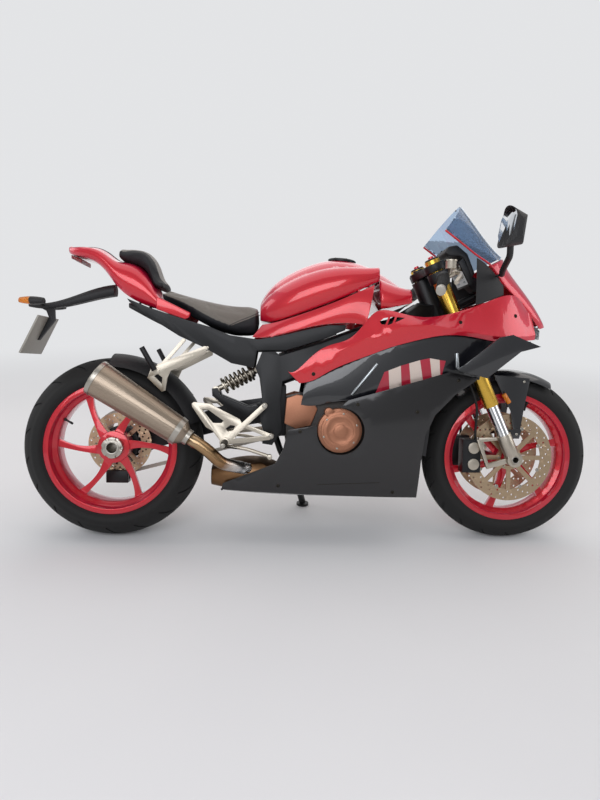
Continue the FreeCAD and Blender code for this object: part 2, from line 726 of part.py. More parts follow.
def make_swingarm():
    """Single-sided arm on the left with its hub carrier."""
    pivot = Vector(size("pivot_x"), 0, size("pivot_z"))
    half = size("beam_half_width") - 34
    barrel = cylinder(pivot + ACROSS * -half, pivot + ACROSS * half, 30)
    # x, z, half-height, inner and outer distance to the left
    stations = [(540, 452, 46, 60, 106), (430, 432, 48, 84, 124), (300, 392, 44, 104, 134),
                (150, 350, 44, 104, 134), (40, 322, 60, 98, 128)]
    wires = [polygon([Vector(x, inner, z - half), Vector(x, outer, z - half + 10),
                      Vector(x, outer, z + half - 10), Vector(x, inner, z + half)])
             for x, z, half, inner, outer in stations]
    arm = Part.makeLoft(wires, True, True)
    right_lug = plate([(575, 480), (560, 492), (470, 468), (374, 506), (364, 532), (344, 530),
                       (346, 505), (420, 440), (480, 425), (575, 425)], 24, 70)
    left_lug = plate([(374, 506), (364, 532), (344, 530), (346, 505), (420, 440), (480, 425),
                      (520, 430), (520, 468), (470, 468)], -38, -24)
    tie = cylinder(Vector(500, -36, 452), Vector(500, 60, 452), 20)
    shock_pin = cylinder(Vector(356, -36, 524), Vector(356, 24, 524), 6)
    carrier = cylinder(REAR_AXLE + ACROSS * 76, REAR_AXLE + ACROSS * 134, 66)
    block = fused([barrel, arm, right_lug, left_lug, tie, carrier, shock_pin])
    bore = cylinder(REAR_AXLE + ACROSS * 60, REAR_AXLE + ACROSS * 150,
                    size("rear_axle_radius") + size("running_gap"))
    feature("swingarm", block.cut(bore))


def make_rear_caliper():
    y_disc = size("rear_disc_offset") + size("disc_thickness") / 2
    block = Part.makeBox(80, 44, 46, Vector(-40, -22, -23))
    slot = Part.makeBox(100, size("disc_thickness") + 11, 40,
                        Vector(-50, -size("disc_thickness") / 2 - 5.5, -12))
    body = block.cut(slot)
    body.translate(Vector(-6, y_disc, REAR_AXLE.z - size("rear_disc_radius") - 4))
    arm = plate([(-20, 214), (20, 214), (24, 262), (-24, 262)], y_disc + 22, y_disc + 44)
    arm = arm.cut(cylinder(REAR_AXLE, REAR_AXLE + ACROSS * 140, 66))
    feature("rear_caliper", fused([body, arm]))


def loop_wire(centre_a, radius_a, centre_b, radius_b, y):
    """The outline of a belt round two wheels, a at the rear and b in front."""
    gap = centre_b - centre_a
    tilt = math.atan2(gap.z, gap.x)
    wrap = math.acos((radius_a - radius_b) / gap.Length)

    def spot(centre, radius, angle):
        return Vector(centre.x + radius * math.cos(angle), y, centre.z + radius * math.sin(angle))

    top_a, low_a = spot(centre_a, radius_a, tilt + wrap), spot(centre_a, radius_a, tilt - wrap)
    top_b, low_b = spot(centre_b, radius_b, tilt + wrap), spot(centre_b, radius_b, tilt - wrap)
    return Part.Wire([
        Part.LineSegment(top_a, top_b).toShape(),
        Part.Arc(top_b, spot(centre_b, radius_b, tilt), low_b).toShape(),
        Part.LineSegment(low_b, low_a).toShape(),
        Part.Arc(low_a, spot(centre_a, radius_a, tilt + math.pi), top_a).toShape()])


FRONT_SPROCKET = Vector(size("pivot_x") + 92, 0, size("pivot_z") - 42)


def make_chain():
    """Drive chain as one loop round both sprockets."""
    y_low = size("chain_line") - size("chain_width") / 2
    inner_a = size("sprocket_radius") + size("chain_clearance")
    inner_b = size("front_sprocket_radius")
    height = size("chain_height")
    outside = Part.Face(loop_wire(REAR_AXLE, inner_a + height, FRONT_SPROCKET, inner_b + height, y_low))
    inside = Part.Face(loop_wire(REAR_AXLE, inner_a, FRONT_SPROCKET, inner_b, y_low))
    loop = outside.extrude(ACROSS * size("chain_width"))
    feature("chain", loop.cut(inside.extrude(ACROSS * size("chain_width"))))


def make_shock():
    """Damper with its coil spring, between frame and swingarm."""
    low = Vector(356, 0, 524)
    high = Vector(506, 0, 602)
    axis = (high - low).normalize()
    body = [cylinder(low - ACROSS * 14, low + ACROSS * 14, 14), cylinder(low, low + axis * 60, 11),
            cylinder(low + axis * 50, high - axis * 8, 13),
            cylinder(low + axis * 32, low + axis * 38, 31),
            cylinder(high - axis * 34, high - axis * 26, 31),
            cylinder(high - ACROSS * 14, high + ACROSS * 14, 14)]
    for index in range(5):
        spot = low + axis * (50 + index * 18)
        body.append(Part.makeTorus(25, 5.5, spot, axis))
        body.append(cylinder(spot - axis * 3, spot + axis * 3, 24))
    eye = cylinder(low - ACROSS * 15, low + ACROSS * 15, 6)
    feature("shock_absorber", fused(body).cut(eye))


def make_hugger():
    """Mudguard close over the rear tyre, carried by the swingarm."""
    half = size("rear_tyre_half_width") + 12
    crown = size("rear_tyre_radius") + 16
    edge = crown - 46
    wall = 3

    def at(y, r):
        return REAR_AXLE + Vector(0, y, r)

    profile = Part.Wire([curve(at(-half, edge), at(0, crown), at(half, edge)),
                         Part.LineSegment(at(half, edge), at(half - wall, edge)).toShape(),
                         curve(at(half - wall, edge), at(0, crown - wall), at(-half + wall, edge)),
                         Part.LineSegment(at(-half + wall, edge), at(-half, edge)).toShape()])
    face = Part.Face(profile)
    face.rotate(REAR_AXLE, ACROSS, 0)
    shell = face.revolve(REAR_AXLE, ACROSS, 72)
    leg = plate([(172, 372), (240, 392), (262, 500), (226, 540), (196, 520)], 100, 104)
    feature("hugger", fused([shell, leg]))


STAND_PIVOT = Vector(628, 134, 262)
STAND_FOOT_X = 688
STAND_FOOT_REACH = 262


def make_side_stand():
    """Leg, foot and pivot of the side stand; its foot lies on the leaned ground plane."""
    ground = Vector(0, -math.sin(LEAN), math.cos(LEAN))
    foot_y = STAND_FOOT_REACH
    foot_z = foot_y * math.tan(LEAN)
    foot = Vector(STAND_FOOT_X, foot_y, foot_z)
    sole = Part.makeCylinder(24, 8, foot, ground)
    ankle = foot + ground * 6
    leg = cylinder(STAND_PIVOT, ankle + ground * 6, size("stand_radius"))
    eye = cylinder(STAND_PIVOT - stand_axis() * 15, STAND_PIVOT + stand_axis() * 15, 19)
    feature("side_stand", fused([sole, leg, eye]))


def stand_axis():
    """Turning axis of the side stand: from the leg as it stands to the leg folded back."""
    foot_z = STAND_FOOT_REACH * math.tan(LEAN)
    leg = Vector(STAND_FOOT_X, STAND_FOOT_REACH, foot_z) - STAND_PIVOT
    folded = Vector(-0.975, 0.19, 0.02)
    return leg.cross(folded).normalize()


def stand_bracket():
    """Forged bracket on the frame that carries the side stand."""
    axis = stand_axis()
    head = cylinder(STAND_PIVOT - axis * 34, STAND_PIVOT - axis * 15.3, 21)
    start = STAND_PIVOT - axis * 33
    arm = tube([start, start + Vector(-27, -11.8, 40.4), Vector(564, 122, 370)], 12)
    return fused([head, arm])


# Engine and exhaust


def make_engine():
    """The engine as one closed block, crankcase, cylinders and sump, with its sprocket."""
    crankcase = plate([(606, 352), (690, 258), (880, 234), (960, 300), (950, 440), (860, 480),
                       (690, 520), (606, 500)], -138, 138)
    cylinders = plate([(790, 470), (945, 430), (1008, 560), (985, 588), (850, 590)], -138, 138)
    sump = plate([(700, 262), (850, 245), (836, 227), (716, 227)], -70, 70)
    y_wheel = size("chain_line") - 4
    centre = FRONT_SPROCKET + ACROSS * y_wheel
    wheel = cylinder(centre, centre + ACROSS * 8, size("front_sprocket_radius"))
    shaft = cylinder(FRONT_SPROCKET + ACROSS * 120, centre + ACROSS * 14, 15)
    feature("engine_block", fused([crankcase, cylinders, sump, wheel, shaft]))


def make_clutch_cover():
    """Bronze cover on the right with its raised rings, a lug and a bolt boss."""
    centre = Vector(size("clutch_x"), 0, size("clutch_z"))
    radius = size("clutch_radius")
    face = -196
    steps = [cylinder(centre + ACROSS * -138, centre + ACROSS * (face + 14), radius + 10),
             cylinder(centre + ACROSS * (face + 14), centre + ACROSS * (face + 4), radius),
             ring(centre + ACROSS * (face + 4), centre + ACROSS * face, radius - 8, radius - 20),
             cylinder(centre + ACROSS * (face + 4), centre + ACROSS * (face - 2), 22)]
    lug = cylinder(centre + Vector(-38, -138, 62), centre + Vector(-38, face + 12, 62), 14)
    feature("clutch_cover", fused(steps + [lug]))


def make_left_cover():
    """Generator cover and sprocket cover on the left."""
    centre = Vector(size("clutch_x") + 20, 0, size("clutch_z") - 20)
    steps = [cylinder(centre + ACROSS * 138, centre + ACROSS * 172, 74),
             cylinder(centre + ACROSS * 172, centre + ACROSS * 180, 58)]
    feature("generator_cover", fused(steps))


def make_radiator():
    """Curved radiator ahead of the engine."""
    core = plate([(1052, 330), (1076, 322), (1112, 610), (1088, 618)], -150, 150)
    tanks = plate([(1046, 326), (1082, 316), (1118, 614), (1082, 626)], -166, -150)
    feature("radiator", fused([core, tanks, mirrored(tanks)]))


def collector_box():
    """Silencing box under the swingarm's pivot."""
    box = body_loft([(350, 195, 40, 222, 60, 250, 50, 262), (420, 186, 60, 225, 84, 268, 70, 282),
                     (540, 188, 60, 228, 84, 270, 70, 285), (580, 200, 50, 228, 70, 258, 55, 270)])
    box.translate(Vector(0, -30, 0))
    return box


def make_headers():
    """Four header pipes that join under the engine."""
    radius = size("header_radius")
    pipes = []
    for y in (-114, -38, 38, 114):
        pipes.append(tube([Vector(989, y, 519.5), Vector(1034, y, 498), Vector(1026, y * 0.9, 300),
                           Vector(950, y * 0.45, 190), Vector(800, y * 0.28, 190)], radius))
    joiner = tube([Vector(815, 0, 190), Vector(640, -10, 190), Vector(520, -30, 212)], 26)
    feature("exhaust_collector", fused(pipes + [joiner, collector_box()]))


SILENCER_REAR = (-16, 567)
SILENCER_FRONT = (258, 392)


def make_silencer():
    """Tapered can with the cone to the link pipe; the pipe from the collector ends there."""
    y = -size("silencer_offset")
    rear = Vector(SILENCER_REAR[0], y, SILENCER_REAR[1])
    front = Vector(SILENCER_FRONT[0], y, SILENCER_FRONT[1])
    axis = (front - rear).normalize()
    collar = size("pipe_radius") + 3
    length = (front - rear).Length
    can = Part.makeCone(size("silencer_radius"), size("silencer_front_radius"), length, rear, axis)
    cone = Part.makeCone(size("silencer_front_radius"), collar, 26, front, axis)
    outlet = cylinder(rear - axis * 5, rear + axis * 90, 30)
    feature("silencer", fused([can, cone]).cut(outlet))
    joint = front + axis * 26
    path = [joint, joint + axis * 75, Vector(394, y + 6, 289), Vector(434, y + 36, 275),
            Vector(478, -98, 256)]
    pipe = tube(path, size("pipe_radius"))
    feature("link_pipe", pipe.cut(collector_box()))


# Seats, tank, tail


def make_tank():
    stations = [(512, 772, 52, 795, 66, 822, 46, 834), (560, 768, 92, 822, 108, 872, 70, 903),
                (640, 792, 122, 855, 142, 918, 92, 955), (740, 829, 140, 890, 162, 950, 105, 989),
                (845, 874, 144, 915, 158, 952, 100, 985), (915, 908, 128, 926, 136, 945, 85, 962)]
    feature("tank", body_loft(stations))


def make_tank_side_covers():
    ribs = [(520, 756, 76, 86, 486, 712, 94), (560, 762, 101, 110, 528, 710, 110),
            (647, 788, 130, 135, 612, 728, 133), (747, 825, 146, 153, 712, 753, 149),
            (814, 854, 151, 160, 798, 762, 154), (898, 893, 138, 162, 868, 752, 160)]
    feature("tank_covers", both_sides(side_panel(ribs, 6)))


def make_airbox_cover():
    stations = [(918, 812, 150, 860, 158, 920, 96, 958), (965, 820, 154, 856, 156, 898, 88, 932),
                (1026, 836, 140, 850, 142, 868, 76, 888)]
    feature("airbox_cover", body_loft(stations))


def make_seats():
    rider = [(176, 842, 78, 850, 96, 860, 82, 866), (238, 812, 96, 828, 116, 840, 96, 847),
             (304, 775, 104, 800, 126, 822, 100, 831), (372, 744, 96, 780, 118, 808, 90, 818),
             (441, 726, 76, 770, 94, 802, 66, 812), (500, 728, 60, 772, 70, 806, 50, 817)]
    feature("rider_seat", body_loft(rider))
    passenger = [(22, 972, 46, 988, 58, 1000, 44, 1010), (76, 962, 62, 980, 76, 996, 60, 1006),
                 (112, 948, 70, 970, 86, 990, 66, 1000), (142, 905, 74, 930, 90, 948, 70, 960),
                 (178, 868, 74, 876, 88, 884, 70, 892)]
    feature("passenger_seat", body_loft(passenger))


def make_tail_cowl():
    stations = [(-152, 992, 22, 1004, 36, 1012, 22, 1020), (-100, 975, 56, 994, 74, 1006, 48, 1015),
                (-30, 940, 72, 968, 94, 992, 62, 1004), (20, 880, 82, 930, 104, 962, 66, 970),
                (80, 832, 88, 890, 112, 944, 80, 958), (140, 808, 92, 842, 116, 884, 92, 900),
                (172, 798, 94, 818, 118, 838, 96, 840)]
    feature("tail_cowl", body_loft(stations))


def make_tail_light():
    feature("tail_light", body_loft([(-146, 974, 20, 980, 30, 985, 20, 987.5),
                                     (-104, 956, 42, 962, 56, 967, 42, 969.5)]))


def make_subframe_covers():
    """Covers from under the tail to the frame beams, below the seat and the tank covers."""
    ribs = [(50, 860, 98, 100, 50, 800, 95), (160, 860, 112, 114, 160, 700, 108),
            (300, 860, 122, 122, 300, 620, 118), (420, 860, 128, 128, 420, 560, 124),
            (520, 860, 128, 134, 520, 560, 132), (640, 860, 134, 140, 640, 560, 140),
            (800, 860, 146, 150, 800, 560, 150)]
    outline = [(62, 833), (138, 803), (262, 764), (343, 742), (411, 715), (476, 706), (507, 702),
               (581, 715), (681, 740), (745, 754), (800, 755), (800, 738), (720, 706), (660, 686),
               (600, 667), (566, 667), (503, 665), (494, 606), (418, 620), (328, 670), (240, 709),
               (126, 778), (70, 822)]
    feature("subframe_covers", both_sides(side_panel(ribs, 18).common(plate(outline, -200, -50))))


def make_undertail():
    """Seat carrier and battery tray between the subframe covers."""
    stations = [(62, 806, 60, 814, 74, 821, 66, 824), (180, 744, 70, 764, 86, 780, 78, 784),
                (330, 684, 78, 706, 94, 730, 76, 733), (490, 632, 80, 666, 100, 704, 60, 709)]
    feature("undertail_tray", body_loft(stations))


def make_plate_arm():
    """Arm behind the tail with the indicators, which carries the number plate."""
    arm = body_loft([(-300, 806, 8, 812, 12, 818, 8, 821), (-190, 806, 14, 818, 20, 828, 14, 832),
                     (-60, 838, 18, 856, 26, 872, 18, 878), (0, 850, 20, 868, 30, 884, 20, 890)])
    hanger = plate([(-276, 812), (-214, 812), (-212, 760), (-266, 690), (-271.4, 690),
                    (-231.7, 770), (-240, 792)], -8, 8)
    stalk = cylinder(Vector(-250, 0, 814), Vector(-250, -84, 818), 6)
    lamp = body_loft([(-292, 808, 8, 816, 14, 822, 9, 826), (-250, 804, 14, 816, 22, 826, 14, 830),
                      (-212, 808, 8, 816, 14, 822, 9, 826)])
    lamp.translate(Vector(0, -104, 2))
    indicator = fused([stalk, lamp])
    feature("plate_arm", fused([arm, hanger, indicator, mirrored(indicator)]))


def make_number_plate():
    outline = [(-232, 770), (-238, 772), (-302, 644), (-296, 641)]
    feature("number_plate", plate(outline, -95, 95))


# Fairing and cockpit


VENT_OUTLINE = [(908, 766), (922, 778), (952, 783), (992, 780), (968, 768), (935, 755), (914, 757)]
VENT_SLATS = [((926, 748), (944, 790)), ((948, 752), (966, 790))]


def vent_slots():
    """The openings of the fairing's vent, with its slats left standing."""
    slots = plate(VENT_OUTLINE, -240, 240)
    for low, high in VENT_SLATS:
        slots = slots.cut(bar_plate(low, high, 3, -245, 245))
    return slots


def make_upper_fairings():
    ribs = [(608, 598, 150, 578, 153, 648, 557, 150), (690, 650, 160, 626, 166, 726, 586, 162),
            (777, 695, 172, 672, 184, 811, 629, 178), (848, 744, 178, 712, 201, 900, 664, 192),
            (922, 806, 180, 738, 213, 968, 689, 199), (1010, 790, 184, 757, 216, 1045, 710, 202),
            (1111, 790, 180, 751, 209, 1135, 726, 197), (1184, 809, 170, 738, 197, 1215, 724, 184),
            (1252, 832, 156, 729, 181, 1290, 713, 166), (1348, 868, 134, 726, 158, 1366, 711, 144),
            (1408, 864, 101, 732, 131, 1424, 716, 123), (1462, 806, 85, 738, 107, 1473, 722, 98)]
    slots = vent_slots()
    for hand, word in ((RIGHT, "right"), (LEFT, "left")):
        panel = creased_panel(ribs, size("panel_wall"), hand).cut(slots)
        feature("upper_fairing_" + word, panel)


def make_middle_panels():
    """Inner panels between the upper and the lower fairing."""
    ribs = [(668, 556, 144, 149, 655, 484, 146), (735, 594, 153, 158, 745, 492, 154),
            (815, 634, 165, 168, 830, 505, 164), (910, 676, 180, 178, 930, 525, 170),
            (1041, 716, 186, 182, 1050, 560, 174), (1160, 734, 178, 176, 1170, 560, 170),
            (1290, 720, 155, 156, 1285, 610, 157), (1390, 716, 127, 132, 1350, 650, 133)]
    feature("middle_panels", both_sides(side_panel(ribs, size("panel_wall"))))


def make_lower_fairings():
    ribs = [(380, 640, 150, 152, 380, 150, 100), (600, 640, 178, 186, 600, 150, 132),
            (800, 640, 190, 206, 800, 150, 140), (1000, 640, 196, 202, 1000, 150, 134),
            (1130, 640, 190, 190, 1130, 150, 120), (1262, 640, 172, 168, 1262, 150, 110)]
    outline = [(809, 505), (982, 555), (1149, 604), (1252, 583), (1169, 528), (1102, 460),
               (1071, 390), (1063, 300), (1061, 168), (756, 176), (388, 186), (393, 209), (571, 285),
               (596, 335), (612, 402), (718, 421)]
    centre = Vector(size("clutch_x"), 0, size("clutch_z"))
    window = cylinder(centre + ACROSS * -260, centre, size("clutch_opening"))
    sheet = side_panel(ribs, size("panel_wall"), RIGHT)
    panel = sheet.common(plate(outline, -260, -60)).cut(window)
    feature("lower_fairing_right", panel)
    stand_room = plate([(380, 140), (380, 420), (600, 420), (640, 345), (722, 300), (736, 140)],
                       60, 260)
    feature("lower_fairing_left", mirrored(panel).cut(stand_room))


def make_belly_pan():
    """Floor of the lower fairing."""
    ribs = [(392, 187, 98, 392, 166), (600, 180, 126, 600, 154), (800, 176, 132, 800, 150),
            (1052, 169, 120, 1052, 150)]
    feature("belly_pan", bowed_shell(ribs, size("panel_wall")))


def make_nose_cowl():
    ribs = [(1302, 971, 117, 1376, 1012), (1365, 897, 105, 1430, 930), (1414, 860, 88, 1482, 866),
            (1462, 811, 72, 1524, 806), (1518, 764, 35, 1545, 772)]
    feature("nose_cowl", bowed_shell(ribs, size("panel_wall")))


def make_windscreen():
    ribs = [(1132, 1083, 148, 1215, 1194), (1190, 1040, 148, 1270, 1127),
            (1242, 1003, 140, 1320, 1066), (1296, 977, 128, 1372, 1017)]
    feature("windscreen", bowed_shell(ribs, size("screen_wall")))


def make_cockpit_panels():
    """Black inner panels between screen and fairing."""
    ribs = [(1244, 992, 142, 152, 1240, 832, 158), (1290, 964, 130, 141, 1290, 848, 146),
            (1348, 902, 116, 121, 1346, 872, 126)]
    feature("cockpit_panels", both_sides(side_panel(ribs, 3, RIGHT)))


def make_headlights():
    """Lamp units in the nose, right and left of the middle."""
    outer = polygon([Vector(1454, -88, 790), Vector(1466, -88, 726), Vector(1430, -88, 726),
                     Vector(1420, -88, 784)])
    inner = polygon([Vector(1526, -14, 758), Vector(1524, -14, 726), Vector(1470, -14, 726),
                     Vector(1470, -14, 752)])
    feature("headlights", both_sides(Part.makeLoft([outer, inner], True, True)))


def make_chin():
    ribs = [(1340, 702, 122, 1340, 690), (1400, 706, 112, 1408, 694), (1462, 716, 90, 1490, 704)]
    feature("chin_panel", bowed_shell(ribs, size("panel_wall")))


def make_winglets():
    """Winglets: an end plate on an upper foil and a lower stay."""
    root_y, tip_y = -156, -236
    blade = polygon([Vector(1300, root_y, 718), Vector(1335, root_y, 729),
                     Vector(1380, root_y, 714), Vector(1352, root_y, 706)])
    tip = polygon([Vector(1298, tip_y, 716), Vector(1339, tip_y, 729), Vector(1432, tip_y, 692),
                   Vector(1366, tip_y, 676)])
    foil = Part.makeLoft([blade, tip], True, True)
    end = plate([(1296, 720), (1339, 729), (1433, 692), (1367, 674), (1258, 586), (1160, 611)],
                tip_y - 6, tip_y)
    stay = plate([(1160, 611), (1172, 620), (1262, 598), (1258, 587)], tip_y, -186)
    panel = doc.getObject("upper_fairing_right").Shape
    outside = max(fused([foil, end, stay]).cut(panel).Solids, key=lambda solid: solid.Volume)
    feature("winglets", both_sides(outside))


def make_mirrors():
    """Mirror heads on their stalks."""
    # x of the section, half-depth and half-height about the head's middle
    sections = [(-300, 8, 26), (-330, 20, 52), (-372, 26, 64), (-410, 20, 56), (-436, 6, 30)]
    wires = []
    for y, deep, tall in sections:
        centre = Vector(1272, y, 1044 + (y + 372) * 0.16)
        lean_back = 0.18
        wires.append(polygon([centre + Vector(-deep + tall * -lean_back, 0, -tall),
                              centre + Vector(deep, 0, -tall * 0.8),
                              centre + Vector(deep + tall * lean_back, 0, tall * 0.6),
                              centre + Vector(-deep + tall * lean_back, 0, tall)]))
    head = Part.makeLoft(wires, True, False)
    stalk = tube([Vector(1276, -352, 1000), Vector(1284, -330, 966), Vector(1318, -180, 944),
                  Vector(1334, -134, 940)], 10)
    feature("mirrors", both_sides(fused([head, stalk])))


def make_dash():
    screen = plate([(1204, 990), (1218, 1003), (1260, 921), (1246, 909)], -70, 70)
    carrier = plate([(1228, 966), (1288, 936), (1300, 893), (1276, 893), (1250, 915)], -30, 30)
    feature("dash", fused([screen, carrier]))


# Rider's controls


def bar_plate(start, end, half_width, y_low, y_high):
    """A flat arm between two (x, z) points with round ends."""
    low = Vector(start[0], y_low, start[1])
    high = Vector(end[0], y_low, end[1])
    out = (high - low).normalize()
    beside = Vector(-out.z, 0, out.x) * half_width
    outline = Part.Wire([
        Part.LineSegment(low + beside, high + beside).toShape(),
        Part.Arc(high + beside, high + out * half_width, high - beside).toShape(),
        Part.LineSegment(high - beside, low - beside).toShape(),
        Part.Arc(low - beside, low - out * half_width, low + beside).toShape()])
    return Part.Face(outline).extrude(ACROSS * (y_high - y_low))


FOOTREST = (402, 356)
HANGER_BOLT_HIGH = (533, 480)
HANGER_BOLT_LOW = (556, 378)


def make_rearsets():
    """Footrest hangers with heel guards, pegs and pedals."""
    outer = -168
    guard = plate([(292, 484), (297, 489), (350, 484), (451, 434), (462, 411), (439, 374),
                   (410, 344), (386, 360), (362, 393), (339, 406), (292, 474)], outer, outer + 7)
    window = plate([(325, 465), (345, 465), (397, 428), (390, 420), (362, 420)],
                   outer - 5, outer + 12)
    small_window = plate([(404, 402), (420, 414), (436, 412), (430, 396), (412, 392)],
                         outer - 5, outer + 12)
    guard = guard.cut(window).cut(small_window)
    upper = bar_plate(FOOTREST, HANGER_BOLT_HIGH, 9, outer - 2, outer + 7)
    lower = bar_plate(FOOTREST, (548, 374), 8, outer - 2, outer + 7)
    brace = bar_plate((462, 414), HANGER_BOLT_LOW, 7, outer, outer + 7)
    mounts = [cylinder(Vector(x, outer, z), Vector(x, -142, z), 9)
              for x, z in (HANGER_BOLT_HIGH, HANGER_BOLT_LOW)]
    rest = Vector(FOOTREST[0], outer, FOOTREST[1])
    pivot = cylinder(rest - ACROSS * 8, rest + ACROSS * 14, 17)
    peg = cylinder(rest - ACROSS * 8, rest + Vector(4, -92, 2), 11)
    pedal = tube([Vector(406, outer - 10, 344), Vector(470, outer - 12, 338),
                  Vector(552, outer - 16, 312)], 6)
    toe = cylinder(Vector(552, outer - 10, 312), Vector(553, outer - 46, 314), 8)
    side_set = fused([guard, upper, lower, brace, pivot, peg, pedal, toe] + mounts)
    feature("rearsets", both_sides(side_set))


def make_passenger_hangers():
    """Triangulated hangers of the passenger's footrests."""
    outer = -134
    long_arm = bar_plate((176, 606), (330, 668), 8, outer, outer + 9)
    rear_arm = bar_plate((182, 606), (258, 694), 6, outer, outer + 9)
    plate_low = plate([(150, 600), (138, 566), (186, 520), (198, 524), (204, 566), (214, 590),
                       (330, 650), (330, 662), (200, 622)], outer, outer + 9)
    hole = plate([(160, 572), (186, 546), (188, 568), (172, 580)], outer - 5, outer + 14)
    block = fused([long_arm, rear_arm, plate_low]).cut(hole)
    foot = cylinder(Vector(166, outer - 4, 590), Vector(166, outer + 9, 590), 13)
    peg = cylinder(Vector(164, outer - 10, 592), Vector(122, outer - 18, 668), 9)
    feature("passenger_pegs", both_sides(fused([block, foot, peg])))


make_rear_wheel()
make_rear_axle()
make_rear_disc()
make_sprocket()
make_front_wheel()
make_front_discs()
make_outer_tubes()
make_fork_legs()
make_front_axle()
make_yokes()
make_handlebars()
make_grips()
make_levers()
make_front_fender()
make_front_calipers()
make_brake_hoses()
make_frame()
make_swingarm()
make_rear_caliper()
make_chain()
make_shock()
make_hugger()
make_side_stand()
make_engine()
make_clutch_cover()
make_left_cover()
make_radiator()
make_headers()
make_silencer()
make_tank()
make_tank_side_covers()
make_airbox_cover()
make_seats()
make_tail_cowl()
make_tail_light()
make_subframe_covers()
make_undertail()
make_plate_arm()
make_number_plate()
make_upper_fairings()
make_middle_panels()
make_lower_fairings()
make_belly_pan()
make_nose_cowl()
make_windscreen()
make_cockpit_panels()
make_headlights()
make_chin()
make_winglets()
make_mirrors()
make_dash()
make_rearsets()
make_passenger_hangers()

# Pegs: the piece that is fastened, the piece that carries it
PEGS = [
    ("subframe_covers", "frame"), ("subframe_covers", "tail_cowl"), ("tank_covers", "subframe_covers"),
    ("tank_covers", "tank"), ("airbox_cover", "tank"), ("undertail_tray", "tail_cowl"),
    ("plate_arm", "tail_cowl"), ("passenger_seat", "tail_cowl"), ("passenger_pegs", "subframe_covers"),
    ("radiator", "frame"),
    ("middle_panels", "radiator"), ("lower_fairing_right", "middle_panels"),
    ("lower_fairing_left", "middle_panels"), ("belly_pan", "lower_fairing_right"),
    ("belly_pan", "lower_fairing_left"), ("dash", "frame"), ("cockpit_panels", "nose_cowl"),
    ("nose_cowl", "upper_fairing_right"), ("nose_cowl", "upper_fairing_left"),
    ("windscreen", "nose_cowl"), ("headlights", "nose_cowl"), ("chin_panel", "middle_panels"),
    ("mirrors", "cockpit_panels"), ("exhaust_collector", "engine_block"),
    ("middle_panels", "upper_fairing_right"), ("middle_panels", "upper_fairing_left"),
]
for label, carrier in PEGS:
    fasten(label, carrier)
for hand, word in ((RIGHT, "right"), (LEFT, "left")):
    boss("frame", "upper_fairing_" + word, Vector(700, side(138, hand), 625),
         Vector(700, side(168, hand), 625))
doc.recompute()

# Lean the bike on its stand, with the middle of its box over the origin
lean_turn = Placement(Vector(0, 0, 0), Rotation(Vector(1, 0, 0), -size("lean_angle")))
box = FreeCAD.BoundBox()
for piece in pieces:
    leaned = piece.Shape.copy()
    leaned.Placement = lean_turn.multiply(leaned.Placement)
    box.add(leaned.optimalBoundingBox(False, False))
shift = Vector(-box.Center.x, -box.Center.y, 0)
parked = Placement(shift, Rotation(Vector(1, 0, 0), -size("lean_angle")))
for piece in pieces:
    piece.Placement = parked.multiply(piece.Placement)
doc.recompute()

os.makedirs("parts", exist_ok=True)
for obj in doc.Objects:
    if "Invalid" in obj.State or "Error" in obj.State:
        raise RuntimeError("%s failed: %s" % (obj.Name, obj.State))
faulty = [piece.Label for piece in pieces if piece.Shape.isNull() or not piece.Shape.isValid()]
if faulty:
    raise RuntimeError("no valid shape: " + ", ".join(faulty))
for piece in pieces:
    piece.Shape.exportStep("parts/%s.step" % piece.Label)


def parked_point(point):
    return parked.multVec(point)


def report(name, vector):
    print("%s %.4f %.4f %.4f" % (name, vector.x, vector.y, vector.z))


print("pieces", len(pieces), "box", box)
root, end = bar_points(RIGHT)
report("grip_right", parked_point(along(root, end, 0.7) + LEG_AHEAD * 40))
root, end = bar_points(LEFT)
report("grip_left", parked_point(along(root, end, 0.7) + LEG_AHEAD * 40))
report("fork_axis", parked.Rotation.multVec(LEG_UP))
report("shift", shift)
report("rear_axle", parked_point(REAR_AXLE))
report("front_axle", parked_point(FRONT_AXLE))
report("wheel_axis", parked.Rotation.multVec(ACROSS))
report("steering_point", parked_point(leg_point(0, -size("fork_offset"))))
report("steering_axis", parked.Rotation.multVec(LEG_UP))
report("stand_pivot", parked_point(STAND_PIVOT))
report("stand_axis", parked.Rotation.multVec(stand_axis()))
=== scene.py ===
"""Looks of the sport bike: its finishes, its soft parts and the small parts on its solids."""

import json
import math

import bpy
from mathutils import Matrix, Vector

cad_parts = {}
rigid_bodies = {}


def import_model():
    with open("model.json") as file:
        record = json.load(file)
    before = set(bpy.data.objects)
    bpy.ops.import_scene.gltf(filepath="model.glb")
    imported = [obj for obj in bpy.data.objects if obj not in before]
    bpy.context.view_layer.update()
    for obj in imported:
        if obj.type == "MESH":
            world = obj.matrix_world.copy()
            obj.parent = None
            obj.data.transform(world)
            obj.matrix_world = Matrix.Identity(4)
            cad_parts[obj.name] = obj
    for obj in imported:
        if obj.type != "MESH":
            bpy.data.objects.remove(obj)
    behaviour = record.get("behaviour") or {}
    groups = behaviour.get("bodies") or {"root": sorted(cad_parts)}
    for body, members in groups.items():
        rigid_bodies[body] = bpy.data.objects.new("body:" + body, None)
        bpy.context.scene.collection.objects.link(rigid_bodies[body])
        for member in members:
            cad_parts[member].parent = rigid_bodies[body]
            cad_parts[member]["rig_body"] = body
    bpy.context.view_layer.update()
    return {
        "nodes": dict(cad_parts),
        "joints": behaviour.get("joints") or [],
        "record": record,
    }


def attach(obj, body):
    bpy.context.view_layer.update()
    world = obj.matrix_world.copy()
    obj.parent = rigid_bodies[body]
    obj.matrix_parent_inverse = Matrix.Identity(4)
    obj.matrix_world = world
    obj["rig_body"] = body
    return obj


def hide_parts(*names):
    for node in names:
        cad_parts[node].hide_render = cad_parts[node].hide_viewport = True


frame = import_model()

